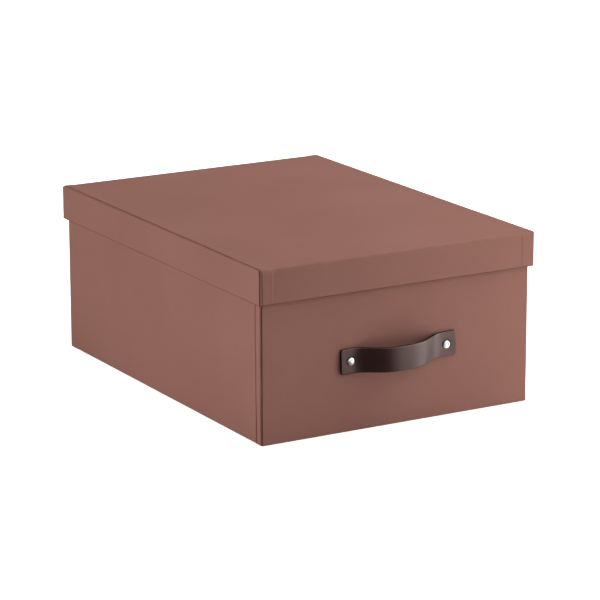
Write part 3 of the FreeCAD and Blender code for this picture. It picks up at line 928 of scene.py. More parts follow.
    def side_sheet(self, side: Side) -> bpy.types.Object:
        """Covering of a long wall. It rises by its thickness over the laps and stops near the corners.

        The rise is 0.35 mm times a smooth step along the wall, and fades where the sheet turns over the
        rim or under the box. The cut edges waver by 0.25 mm.

        Args:
            side: Which long wall.

        Returns:
            The sheet.
        """
        end = self.half_length - self.setback
        foot = self.half_length - self.lap
        rows = mirrored_stops((-end, 2), (-end + 0.5, 4), (-foot - 1.5, 16), (-foot + 2.5, 4),
                              (-foot + 8.0, 70))
        profile = self.profile()
        offset, height = profile.T
        square = np.abs(left_of(profile)[:, 0])
        edge = ease(np.abs(rows), end - 1.2, end)[:, None] * np.sign(rows)[:, None]
        waver = self.cut_waver(height) * (offset < 0.01)
        along = rows[:, None] + edge * waver
        limit = (self.half_length - offset)[None, :]
        along = np.clip(along, -limit, limit)
        front = (rows < 0.0)[:, None]
        slope = np.where(rows < 0.0, self.slope * 0.8, self.rear_slope)
        lifted = PAPER * ease(np.abs(rows), foot - slope, foot)[:, None]
        lifted = lifted + 0.12 * bell(np.abs(rows), foot + 0.7, 0.8)[:, None] * front
        swell = self.swell * sway(rows[:, None], height[None, :], 60.0, 180.0, Seed.BOX_SIDE + side.value)
        swell = swell * self.open_face(offset, height) * ease(foot - np.abs(rows), 2.0, 16.0)[:, None]
        out = self.half_width - offset + square * (lifted * (offset < 3.0)) + swell
        points = np.stack([side.value * out, along, np.broadcast_to(height, out.shape)], axis=-1)
        on_face = (offset < 0.01) * 1.0
        # Painted shade: a dark line where the sheet steps down off the front lap, and a faint band along its
        # cut edges near the corners.
        seam_line = foot - 0.3 - 0.5 * sway(height, 0.0, 50.0, 140.0, Seed.SEAM)[None, :]
        seam_shade = bell(np.abs(rows)[:, None], seam_line, 0.95) * on_face * front
        cut = ease(np.abs(rows), end - 0.45, end)[:, None] * on_face * 0.2
        marks = {"crease": np.maximum(seam_shade, cut), "wear": self.rub(offset, height) + 0.0 * seam_shade}
        patch = Patch(points, None, marks, turned=side is Side.LEFT)
        return covering(side.word, Body.BOX, patch, self.finishes)

    def build(self) -> None:
        """Build the four sheets."""
        for end in End:
            self.end_sheet(end)
        for side in Side:
            self.side_sheet(side)


@dataclass
class LidCovering:
    """Covering paper of the lid: two side sheets and one main sheet over the ends and the top.

    Attributes:
        half_width: Middle to the face of a long skirt, in mm.
        half_length: Middle to the face of a short skirt where it lies over the laps.
        top: Height of the top where it lies over the laps.
        rim: Height of the skirts' lower edge.
        side_wall: Long skirt with its paper on both faces.
        end_wall: Short skirt with its paper on both faces, between the laps.
        turn_in: Height of the covering turned up inside.
        skirt_lap: Lap of a side sheet round a corner.
        top_lap: Lap of a side sheet onto the top.
        slope: Width over which the main sheet climbs onto a lap.
        clip: Corner cut off each lap.
        setback: Long edge to the edge of the main sheet.
        fold_radius: Rounding of the main sheet's front fold.
        back_radius: Rounding of its rear fold.
        side_radius: Rounding of the side sheets' top folds and upright corners.
        rim_radius: Rounding of the lower edge.
        swell: How far the sheets swell.
    """

    finishes: Finishes
    half_width: float = 132.5
    half_length: float = 180.25
    top: float = 149.0
    rim: float = 118.8
    side_wall: float = 2.7
    end_wall: float = 2.7
    turn_in: float = 25.0
    skirt_lap: float = 12.0
    top_lap: float = 6.0
    slope: float = 0.8
    clip: float = 3.0
    setback: float = 2.2
    fold_radius: float = 1.4
    back_radius: float = 0.9
    side_radius: float = 1.3
    rim_radius: float = 1.0
    swell: float = 0.10

    def side_sheet(self, side: Side) -> bpy.types.Object:
        """Covering of a long skirt, lapped round both corners and onto the top, and turned up inside.

        Args:
            side: Which long skirt.

        Returns:
            The sheet.
        """
        low_end = self.half_length - PAPER
        low_top = self.top - PAPER
        run = CornerRun(
            half=(low_end, self.half_width), radius=self.side_radius,
            lap_stops=[self.skirt_lap, 9.0, 6.0, 4.0, 3.4, 3.1, 2.8, 2.5, self.setback, 1.9, 1.6],
            side_stops=mirrored_stops((-low_end + self.side_radius, 1), (-low_end + 2.3, 3),
                                      (-low_end + 8.0, 84)))
        profile = folded_line(
            [(self.side_wall, self.rim + self.turn_in), (self.side_wall, self.rim), (0.0, self.rim),
             (0.0, low_top), (self.top_lap, low_top)],
            [self.rim_radius, self.rim_radius, self.side_radius - 0.01],
            [8, 1, 14, 4])
        offset, height = profile.T
        flat = run.carry(offset)
        along, out = flat[..., 0], flat[..., 1]
        on_face = (offset < 0.01) * (run.kinds == 2)[:, None]
        swell = self.swell * sway(along, height[None, :], 40.0, 150.0, Seed.LID_SIDE + side.value)
        out = out + swell * on_face * ease(low_end - np.abs(along), 2.0, 20.0) * ease(height, 120.0, 124.0)
        points = np.stack([side.value * out, along, np.broadcast_to(height, out.shape)], axis=-1)
        keep = self.side_cut(run, offset, height)
        from_corner = low_end - np.abs(along)
        depth = self.half_width - out
        # Painted shade: dark bands down the upright corner, on the ledge beside the main sheet's edge and
        # along the top's long edge, much weaker at the right, and a painted shadow along the skirt's lower
        # edge.
        reach = 1.0 if side is Side.LEFT else 0.3
        fold = reach * (1.0 - ease(depth / reach, 0.8, 1.2)) * (1.0 - ease(from_corner, 0.2, 0.8))
        ledge = reach * (from_corner < 1.9) * (0.05 + 0.16 * ease(depth, 2.0, 2.8))
        top_edge_shade = (ease(offset, 0.5, 1.1) * (height > low_top - 0.3))[None, :]
        ledge = ledge + (side is Side.LEFT) * 0.16 * top_edge_shade
        lower = 0.75 * (1.0 - ease(height, self.rim + 0.35, self.rim + 1.0))[None, :] + 0.0 * depth
        marks = {"crease": np.maximum(np.maximum(fold, ledge) * on_outside(offset), lower),
                 # Painted highlight along the side sheet's fold onto the top, brightest towards the front.
                 "wear": (bell(height, low_top, 0.7) * bell(offset, 0.0, 0.7))[None, :]
                 * (0.08 + 0.3 * ease(-along, 60.0, 175.0))}
        patch = Patch(points, keep, marks, turned=side is Side.RIGHT)
        return covering(f"lid_{side.word}", Body.LID, patch, self.finishes)

    def side_cut(self, run: CornerRun, offset: np.ndarray, height: np.ndarray) -> np.ndarray:
        """Cells that a side sheet covers: laps only on the ends' faces, with their top corners cut off."""
        low, high = run.kinds[:-1], run.kinds[1:]
        side = ((low == 2) | (high == 2))[:, None]
        arc = ((low == 1) & (high == 1))[:, None]
        depth = np.maximum(offset[:-1], offset[1:])[None, :]
        middle = ((height[:-1] + height[1:]) / 2.0)[None, :]
        from_corner = (self.half_width - run.anchors[:, 1])[:, None]
        reach = np.maximum(from_corner[:-1], from_corner[1:])
        inside = (middle > self.rim + 1.0) & (depth > 1.5) & (middle < self.top - 1.0)
        ledge = (reach <= 3.4 + 1e-6) & ~side & (depth <= self.setback + 0.05) & ~inside
        clip_height = self.top - 2.0 * PAPER - self.clip
        room = np.clip(self.skirt_lap - reach, 0.0, self.clip)
        lap = ~side & ~arc & (depth < 1e-6) & (middle > self.rim + PAPER) & (middle < clip_height + room)
        round_corner = arc & (depth <= self.side_radius + 1e-6) & ~inside
        return side | round_corner | ledge | lap

    def main_sheet(self) -> bpy.types.Object:
        """Covering of both short skirts and the top, in one sheet whose edges lie on the side sheets.

        Its section is carried straight across the lid. Square to that section it rises by its thickness
        over the laps, swells a little over the board and ripples beside the front fold.

        Returns:
            The sheet.
        """
        low_end = self.half_length - PAPER
        low_top = self.top - PAPER
        inner = low_end - self.end_wall
        edge = self.half_width - self.setback
        foot = self.half_width - self.skirt_lap
        across = mirrored_stops(
            (-edge, 2), (-edge + 0.5, 6), (-self.half_width + self.top_lap, 5),
            (-self.half_width + self.top_lap + 1.5, 7), (-foot - 1.6, 12), (-foot + 1.6, 4),
            (-foot + 6.0, 76))
        profile = folded_line(
            [(-inner, self.rim + self.turn_in), (-inner, self.rim), (-low_end, self.rim),
             (-low_end, low_top), (low_end, low_top), (low_end, self.rim), (inner, self.rim),
             (inner, self.rim + self.turn_in)],
            [self.rim_radius, self.rim_radius, self.fold_radius, self.back_radius, self.rim_radius,
             self.rim_radius],
            [6, 1, 18, 110, 18, 1, 6])
        lengthwise, height = profile.T
        out = left_of(profile)
        outer = (np.abs(lengthwise) > low_end - 0.01) | (height > self.rim + self.turn_in + 0.5)
        rows, columns = np.meshgrid(np.abs(across), np.arange(len(profile)), indexing="ij")
        depth = self.half_width - rows
        above = height[columns]
        to_top = ease(above, self.top - 2.0 * PAPER - self.clip, self.top - 0.5)
        lap = self.skirt_lap * (1.0 - to_top) + self.top_lap * to_top
        slope = self.slope * (1.0 - to_top) + 7.0 * to_top
        left = across[:, None] < 0.0
        full = PAPER * np.where(left, 1.0, 0.75)
        lifted = full * (1.0 - ease((depth - lap) / slope, -0.1, 1.0)) * outer[columns]
        lifted = lifted + 0.06 * left * bell(depth, lap - 0.2, 1.1) * (1.0 - to_top) * outer[columns]
        lifted = lifted * ease(above, self.rim + 0.2, self.rim + 1.4)
        over = lengthwise[columns]
        side_place = across[:, None] + 0.0 * over
        # The top bows and swells; near the front fold short ripples run along it.
        on_top = ease(low_end - np.abs(over), 3.0, 30.0) * (above > low_top - 0.01)
        swell = self.swell * sway(side_place, over, 70.0, 220.0, Seed.LID_TOP)
        swell = swell * on_top * ease(depth, 7.0, 20.0)
        skirt = ease(above, self.rim + 1.0, self.rim + 6.0) * (1.0 - ease(above, 140.0, 146.0))
        on_skirt = 0.08 * sway(side_place, above + over, 30.0, 120.0, Seed.LID_SKIRT)
        swell = swell + on_skirt * skirt * outer[columns]
        fold_way = np.hypot(np.abs(over) - low_end, above - low_top)
        fold_way = np.where(over < 0.0, fold_way, 1000.0)
        ripple = bell(fold_way, 0.0, 5.0) * (0.07 + 0.16 * bell(side_place, -118.0, 16.0))
        swell = swell + ripple * sway(side_place, 0.0, 7.0, 34.0, Seed.FRONT_FOLD) * ease(depth, 2.4, 5.0)
        shift = (lifted + swell - 0.12 * bell(fold_way, 0.0, 2.5) * ease(depth, 2.4, 5.0))[..., None]
        # The long edges of the top aren't quite parallel to the lid: they stand further in at the rear.
        skew = ease(rows, edge - 14.0, edge) * np.sign(side_place)
        rise = ease(above, low_top - 3.0, low_top - 0.2)
        slant = np.interp(over, [-low_end, low_end], [1.3, -0.5]) * rise - 0.7 * (1.0 - rise)
        waver = 0.12 * sway(over + above, 0.0, 22.0, 90.0, Seed.LID_EDGE)
        points = np.stack([side_place + skew * (slant + waver), over, above], axis=-1)
        points[..., 1:] += out[columns] * shift
        # The right end of the front fold stands out a little.
        points[..., 0] += 0.3 * bell(fold_way, 0.0, 2.2) * ease(side_place, edge - 4.0, edge)
        # Where the edge reaches the side sheet's round fold it lies down on it.
        past = np.clip(self.side_radius - (self.half_width - np.abs(points[..., 0])), 0.0, self.side_radius)
        drop = self.side_radius - np.sqrt(self.side_radius ** 2 - past ** 2)
        points[..., 2] -= drop * (above > low_top - 3.0)
        # Painted shade: a dark band along the cut edges, half as strong at the right, a faint line by the
        # left lap's edge, a painted shadow along the lower edge, and a darker front skirt towards its left
        # end.
        cut = ease(rows, edge - 0.5, edge) * outer[columns]
        seam_shade = bell(depth, lap + 0.6, 0.6) * outer[columns] * (above < 145.0) * (above > self.rim + 1.0)
        shade = np.where(side_place < 0.0, 1.0, 0.5)
        lower = 0.75 * (1.0 - ease(above, self.rim + 0.35, self.rim + 1.0))
        skirt_face = outer[columns] * (above < 145.0) * (above > self.rim + 1.2)
        left_skirt_shade = 0.07 * left * (over < 0.0) * (1.0 - ease(depth, 12.0, 70.0)) * skirt_face
        # The front fold is rubbed; a painted highlight lies on the ridge over the left lap's edge.
        rubbed_fold = 0.05 * bell(fold_way, 0.0, 1.4)
        ridge_highlight = 0.08 * left * bell(depth, lap - 0.3, 0.9) * skirt_face
        marks = {"crease": np.maximum(np.maximum(0.28 * cut * shade, 0.08 * seam_shade * left + left_skirt_shade), lower),
                 "wear": rubbed_fold + ridge_highlight}
        patch = Patch(points, None, marks)
        return covering("lid_main", Body.LID, patch, self.finishes)

    def build(self) -> None:
        """Build the three sheets."""
        for side in Side:
            self.side_sheet(side)
        self.main_sheet()


@dataclass
class LidBoards:
    """Boards of the lid, whose outer edges are pressed round under the covering.

    Attributes:
        half_width: Middle to the outside of a long board, in mm.
        half_length: Middle to the outside of a short board.
        top: Height of the top board's face.
        radius: Rounding of the lid's outer edges.
    """

    finishes: Finishes
    half_width: float = 132.15
    half_length: float = 179.55
    top: float = 148.3
    radius: float = 2.8

    def pressed(self, points: np.ndarray) -> np.ndarray:
        """Points of a sharp block drawn onto the round one.

        A point's centre is the point held inside the block made smaller by the radius. Its distance from
        there is multiplied by its largest part over its length, which turns a square corner into a round
        one and leaves everything further in where it is.

        Args:
            points: Points in mm.

        Returns:
            The points of the round block.
        """
        limit = np.array([self.half_width, self.half_length, self.top]) - self.radius
        centre = np.clip(points, [-limit[0], -limit[1], -np.inf], limit)
        away = points - centre
        length = np.linalg.norm(away, axis=-1, keepdims=True)
        scale = np.abs(away).max(axis=-1, keepdims=True) / np.where(length > 0.0, length, 1.0)
        return centre + away * np.where(length > 0.0, scale, 1.0)

    def panel(self, name: str) -> bpy.types.Object:
        """One board: six grids between the frame node's own corners, with more lines near its edges.

        Args:
            name: The frame node.

        Returns:
            The board.
        """
        low, high = (np.array(corner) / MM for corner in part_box(name))
        lines = [stops((a, 6), (a + 3.0, 3), (b - 3.0, 6), (b, 1)) if b - a > 8.0 else stops((a, 4), (b, 1))
                 for a, b in zip(low, high)]
        patches = []
        for axis in range(3):
            first, second = lines[(axis + 1) % 3], lines[(axis + 2) % 3]
            u, v = np.meshgrid(first, second, indexing="ij")
            for level, turned in ((high[axis], False), (low[axis], True)):
                points = np.empty((*u.shape, 3))
                points[..., axis] = level
                points[..., (axis + 1) % 3] = u
                points[..., (axis + 2) % 3] = v
                patches.append(Patch(self.pressed(points), turned=turned))
        return Piece(f"{name}_pressed", Body.LID, "fibreboard", name, patches,
                     [self.finishes.board], crisp=30.0).build()

    def build(self) -> None:
        """Build the five boards."""
        for name in PRESSED_BOARDS:
            self.panel(name)


@dataclass
class StrapHandle:
    """Leather strap, bowed out between its two rivets.

    Attributes:
        wall: Middle of the box to the front wall, in mm.
        height: Height of the strap's middle.
        width: Strap across its width.
        thickness: Leather.
        tip: Middle to the end of the strap.
        rivet: Middle to a rivet.
        bow: How far the crown stands out.
        crown: Place of the crown along the strap.
        reach: Crown to where the strap lies on the wall, at the left and at the right.
        fullness: Power p of the bow's curve; a higher one gives a flatter crown.
        softness: Power q of the bow's curve; a higher one gives softer bends at the wall.
        corner: Rounding of the four corners in the strap's plane.
        rounding: Rounding of the long edges.
        lean: Turn of the crown about its length in radians; its upper edge stands further out.
        sag: How far the crown hangs below the rivets.
        rise: Slope of the strap: its right end is a little higher.
        sealed_from: Mean edge mark from which a face is sealed.
        back_shift: How far up the map the strap's back lies, clear of its face.
    """

    finishes: Finishes
    wall: float = 176.5
    height: float = 61.8
    width: float = 21.3
    thickness: float = 2.5
    tip: float = 55.7
    rivet: float = 46.3
    bow: float = 15.5
    crown: float = -2.6
    reach: tuple[float, float] = (43.5, 45.9)
    fullness: float = 2.9
    softness: float = 3.05
    corner: float = 1.9
    rounding: float = 0.7
    lean: float = 0.05
    sag: float = 0.3
    rise: float = 0.018
    sealed_from: float = 0.6
    back_shift: float = 40.0

    def middle_line(self) -> tuple[np.ndarray, np.ndarray, np.ndarray]:
        """Middle line of the leather in plan.

        At x it stands out by the bow times (1 - |t|^p)^q, with t the distance from the crown over the
        bow's reach on that side, and by nothing beyond the reach. The heading is the line's slope.

        Returns:
            Length along the strap, places along X and out from the wall, and headings.
        """
        along = np.linspace(-self.tip, self.tip, 2229)
        reach = np.where(along < self.crown, self.reach[0], self.reach[1])
        share = np.clip(np.abs((along - self.crown) / reach), 0.0, 1.0)
        away = self.bow * (1.0 - share ** self.fullness) ** self.softness
        heading = np.arctan(np.gradient(away, along))
        steps = np.hypot(np.diff(along), np.diff(away))
        length = np.concatenate([[0.0], np.cumsum(steps)])
        return length, np.stack([along, away + self.thickness / 2.0], axis=1), heading

    def section(self) -> np.ndarray:
        """Closed section of the strap: a rectangle with round corners, from the middle of its lower edge.

        Returns:
            Distance out from the middle of the leather and up from the middle of the strap.
        """
        half, tall = self.thickness / 2.0, self.width / 2.0
        loop = folded_line([(0.0, -tall), (half, -tall), (half, tall), (-half, tall), (-half, -tall),
                            (0.0, -tall)], [self.rounding] * 4, [1, 16, 2, 16, 1], 5)
        return loop[:-1]

    def build_strap(self) -> bpy.types.Object:
        """Carry the section along the middle line, with round corners at both tips.

        At a distance d from a tip the half width is less by r - sqrt(r^2 - (r - d)^2), r being the
        corner's rounding, and in the last 0.7 mm the whole section draws in by the same rule, so the end
        is as soft as the long edges. A dimple of 0.3 mm lies round each rivet.

        Returns:
            The strap.
        """
        length, places, heading = self.middle_line()
        total = length[-1]
        near = stops((0.0, 6), (0.7, 8), (2.6, 16), (10.0, 14), (18.0, 46), (total / 2.0, 1))
        rows = np.concatenate([near, (total - near[::-1])[1:]])
        place = np.stack([np.interp(rows, length, column) for column in places.T], axis=1)
        turn = np.interp(rows, length, heading)
        from_tip = np.minimum(rows, total - rows)
        corner = np.clip(self.corner - from_tip, 0.0, None)
        narrower = self.corner - np.sqrt(self.corner ** 2 - corner ** 2)
        close = np.clip(self.rounding - from_tip, 0.0, None)
        drawn = self.rounding - np.sqrt(self.rounding ** 2 - close ** 2)
        loop = self.section()
        half, tall = self.thickness / 2.0, self.width / 2.0
        thin = 1.0 - drawn / half
        out = loop[None, :, 0] * thin[:, None]
        up = loop[None, :, 1] * ((tall - narrower - drawn) / tall)[:, None]
        crown = ease(from_tip, 7.4, 35.0)[:, None]
        lean = self.lean * crown
        # The face is a little cushioned between its edges, and dips under each rivet head.
        on_face = ease(loop[:, 0], 0.0, half)[None, :]
        from_rivet = np.hypot(np.abs(place[:, :1]) - self.rivet, up)
        flat_end = (from_tip < 30.0)[:, None]
        dimple = 0.6 * bell(from_rivet, 0.0, 6.0) * flat_end
        soft = 0.12 * (1.0 - (up / tall) ** 2) - dimple
        wave = 0.06 * sway(rows[:, None], up, 30.0, 80.0, Seed.STRAP) * crown
        out = out + soft * on_face * thin[:, None]
        sway_out = out * np.cos(lean) + up * np.sin(lean) + wave
        raised = up * np.cos(lean) - out * np.sin(lean) - self.sag * crown
        x = place[:, :1] - np.sin(turn)[:, None] * sway_out
        y = -(self.wall + np.maximum(place[:, 1:] + np.cos(turn)[:, None] * sway_out, 0.0))
        # The level strap turned about its middle.
        slope = self.rise
        points = np.stack([x * math.cos(slope) - raised * math.sin(slope), y,
                           self.height + raised * math.cos(slope) + x * math.sin(slope)], axis=-1)
        points = np.concatenate([self.closed_tip(points[0]), points, self.closed_tip(points[-1])])
        face_mark = np.broadcast_to(on_face, out.shape)
        edge = np.broadcast_to((1.0 - ease(np.abs(loop[:, 0]), half - 0.55, half - 0.1))[None, :], out.shape)
        tip = (1.0 - ease(from_tip, 0.1, 0.7))[:, None] + 0.0 * out
        # Painted shadow: a dark ring round each rivet head, out to about 4.5 mm from its middle, which gets
        # the dark edge colour and the sealed finish.
        pressed = (1.0 - ease(from_rivet, 3.9, 4.5)) * face_mark * flat_end
        edge = np.maximum(np.maximum(edge, tip), pressed)
        marks = {"edge": pad_rows(edge), "back": pad_rows(1.0 - face_mark)}
        patch = Patch(points, None, marks, ring=True)
        piece = Piece("leather_strap", Body.BOX, "strap_leather", "handle_strap", [patch],
                      [self.finishes.leather, self.finishes.sealed], crisp=75.0).build()
        self.unroll(piece)
        self.seal(piece)
        return piece

    def seal(self, piece: bpy.types.Object) -> None:
        """Give the strap's edges and the painted shadow rings round its rivets the second finish."""
        mesh = piece.data
        mark = np.empty(len(mesh.vertices), np.float32)
        mesh.attributes["edge"].data.foreach_get("value", mark)
        corners = corner_points(mesh)
        starts = np.empty(len(mesh.polygons), np.int32)
        mesh.polygons.foreach_get("loop_start", starts)
        counts = np.diff(np.append(starts, len(corners)))
        share = np.add.reduceat(mark[corners], starts) / counts
        mesh.polygons.foreach_set("material_index", (share > self.sealed_from).astype(np.int32))

    def closed_tip(self, ring: np.ndarray) -> np.ndarray:
        """One more ring, drawn onto the line up the middle of the tip, which closes it."""
        middle = ring.mean(axis=0)
        line = np.broadcast_to(middle, ring.shape).copy()
        inner = np.abs(ring[:, 2] - middle[2]).max() - 0.6
        line[:, 2] = np.clip(ring[:, 2], middle[2] - inner, middle[2] + inner)
        return line[None]

    def unroll(self, piece: bpy.types.Object) -> None:
        """Give the strap a UV map in metres: length along the strap, and height up its face."""
        length, places, _ = self.middle_line()
        mesh = piece.data
        spots = np.empty(len(mesh.vertices) * 3, np.float32)
        mesh.vertices.foreach_get("co", spots)
        spots = spots.reshape(-1, 3) / MM
        corners = corner_points(mesh)
        order = np.argsort(places[:, 0])
        along = np.interp(spots[:, 0], places[order, 0], length[order])
        middle = -self.wall - self.thickness / 2.0
        girth = spots[:, 2] + np.where(spots[:, 1] < middle, 0.0, self.back_shift)
        layer = mesh.uv_layers.new(name="unrolled")
        spread = np.stack([along, girth], axis=1)[corners] * MM
        layer.data.foreach_set("uv", spread.astype(np.float32).ravel())


@dataclass
class Fastening:
    """Rivets that hold the strap, with the washers and clenched tails inside the box.

    Attributes:
        rivet: Middle to a rivet along X, in mm.
        height: Height of the rivets.
        face: Middle of the box to the strap's face.
        head: Radius of the domed head.
        edge: Straight edge under the dome.
        dome: Rise of the dome.
        half_rise: Height of the right rivet over the middle, and of the left one under it.
        shank: Radius of the shank.
        lining: Middle of the box to the lining's face.
        washer: Radius of the washer.
        washer_hole: Radius of its hole.
        washer_depth: Thickness of the washer.
        tail: Radius of the clenched tail.
        tail_depth: Thickness of the clenched tail.
        cells: Cells round the axis.
    """

    finishes: Finishes
    rivet: float = 46.3
    height: float = 61.5
    face: float = 179.0
    head: float = 3.2
    edge: float = 0.4
    dome: float = 1.0
    half_rise: float = 0.7
    shank: float = 1.5
    lining: float = 173.9
    washer: float = 5.0
    washer_hole: float = 1.6
    washer_depth: float = 0.8
    tail: float = 2.7
    tail_depth: float = 0.7
    cells: int = 48

    def turned_piece(self, name: str, node: str, side: Side, profile: np.ndarray,
                     finish: bpy.types.Material, closed: bool) -> bpy.types.Object:
        """Turn a profile about the rivet's axis: radius times cosine and sine, round the full circle.

        Args:
            name: Name of the piece.
            node: CAD node it stands for.
            side: Which rivet.
            profile: Radius, and distance from the middle of the box, one row each.
            finish: Material.
            closed: Whether the profile's end joins its start.

        Returns:
            The piece.
        """
        if closed:
            profile = np.vstack([profile, profile[:1]])
        angle = np.linspace(0.0, 2.0 * math.pi, self.cells, endpoint=False)
        radius, out = profile[:, 0][:, None], profile[:, 1][:, None]
        x = side.value * self.rivet + radius * np.cos(angle)
        z = self.height + side.value * self.half_rise + radius * np.sin(angle)
        y = -out + 0.0 * x
        patch = Patch(np.stack([x, y, z], axis=-1), ring=True)
        return Piece(name, Body.BOX, "rivet_metal", node, [patch], [finish], crisp=50.0).build()

    def rivet_profile(self) -> np.ndarray:
        """Profile from the top of the dome round the head, along the shank and over the tail.

        The dome is an arc through its top and its foot, with radius (head^2 + dome^2) over twice dome.
        Its foot is rounded by 0.25 mm, and the clenched tail has a hollow in its middle.

        Returns:
            Radius, and distance from the middle of the box.
        """
        sphere = (self.head ** 2 + self.dome ** 2) / (2.0 * self.dome)
        reach = math.asin((self.head - 0.12) / sphere)
        angle = np.linspace(0.0, reach, 15)
        top = self.face + self.edge + self.dome
        dome = np.stack([sphere * np.sin(angle), top - sphere * (1.0 - np.cos(angle))], axis=1)
        back = self.lining - self.washer_depth
        rest = folded_line(
            [tuple(dome[-1]), (self.head, self.face + self.edge - 0.05), (self.head, self.face - 0.15),
             (self.shank, self.face - 0.15), (self.shank, back), (self.tail, back),
             (self.tail, back - self.tail_depth), (1.0, back - self.tail_depth),
             (0.5, back - self.tail_depth + 0.35), (0.0, back - self.tail_depth + 0.35)],
            [0.12, 0.1, 0.1, 0.1, 0.15, 0.3, 0.2, 0.1], [1, 1, 2, 4, 2, 1, 3, 1, 1], 4)
        return np.vstack([dome[:-1], rest])

    def washer_profile(self) -> np.ndarray:
        """Profile of the washer: a flat ring with rounded edges."""
        out, back = self.lining, self.lining - self.washer_depth
        return folded_line(
            [(3.0, out), (self.washer, out), (self.washer, back), (self.washer_hole, back),
             (self.washer_hole, out), (3.0, out)], [0.25, 0.25, 0.12, 0.12], [2, 1, 3, 1, 2], 4)[:-1]

    def build(self) -> None:
        """Build both rivets and both washers."""
        for side in Side:
            self.turned_piece(f"{side.word}_dome_rivet", f"{side.word}_rivet", side,
                              self.rivet_profile(), self.finishes.nickel, False)
            self.turned_piece(f"{side.word}_flat_washer", f"{side.word}_washer", side,
                              self.washer_profile(), self.finishes.steel, True)


@dataclass
class CarriedParts:
    """Frame nodes whose shape is right as it is; they only get a finish."""

    finishes: Finishes

    def dress(self) -> None:
        """Give every node that no piece stands for its material."""
        by_ending = {
            "board": self.finishes.board,
            "liner": self.finishes.lining,
            "base_sheet": self.finishes.paper,
        }
        for name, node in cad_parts.items():
            for ending, material in by_ending.items():
                if name.endswith(ending) and name not in PRESSED_BOARDS:
                    node.data.materials.clear()
                    node.data.materials.append(material)
                    log.info("%s: dressed", name)


@dataclass(frozen=True)
class SoftBox:
    """One large soft lamp.

    Attributes:
        name: Name of the lamp.
        place: Where it stands, in metres.
        aim: What it faces.
        size: Width and height of its face.
        power: Light it gives, in watts.
    """

    name: str
    place: Triple
    aim: Triple
    size: tuple[float, float]
    power: float

    def build(self) -> None:
        """Set up the lamp."""
        data = bpy.data.lights.new(self.name, "AREA")
        data.shape = "RECTANGLE"
        data.size, data.size_y = self.size
        data.energy = self.power
        lamp = bpy.data.objects.new(self.name, data)
        bpy.context.scene.collection.objects.link(lamp)
        lamp.location = self.place
        way = Vector(self.aim) - Vector(self.place)
        lamp.rotation_euler = way.to_track_quat("-Z", "Y").to_euler()


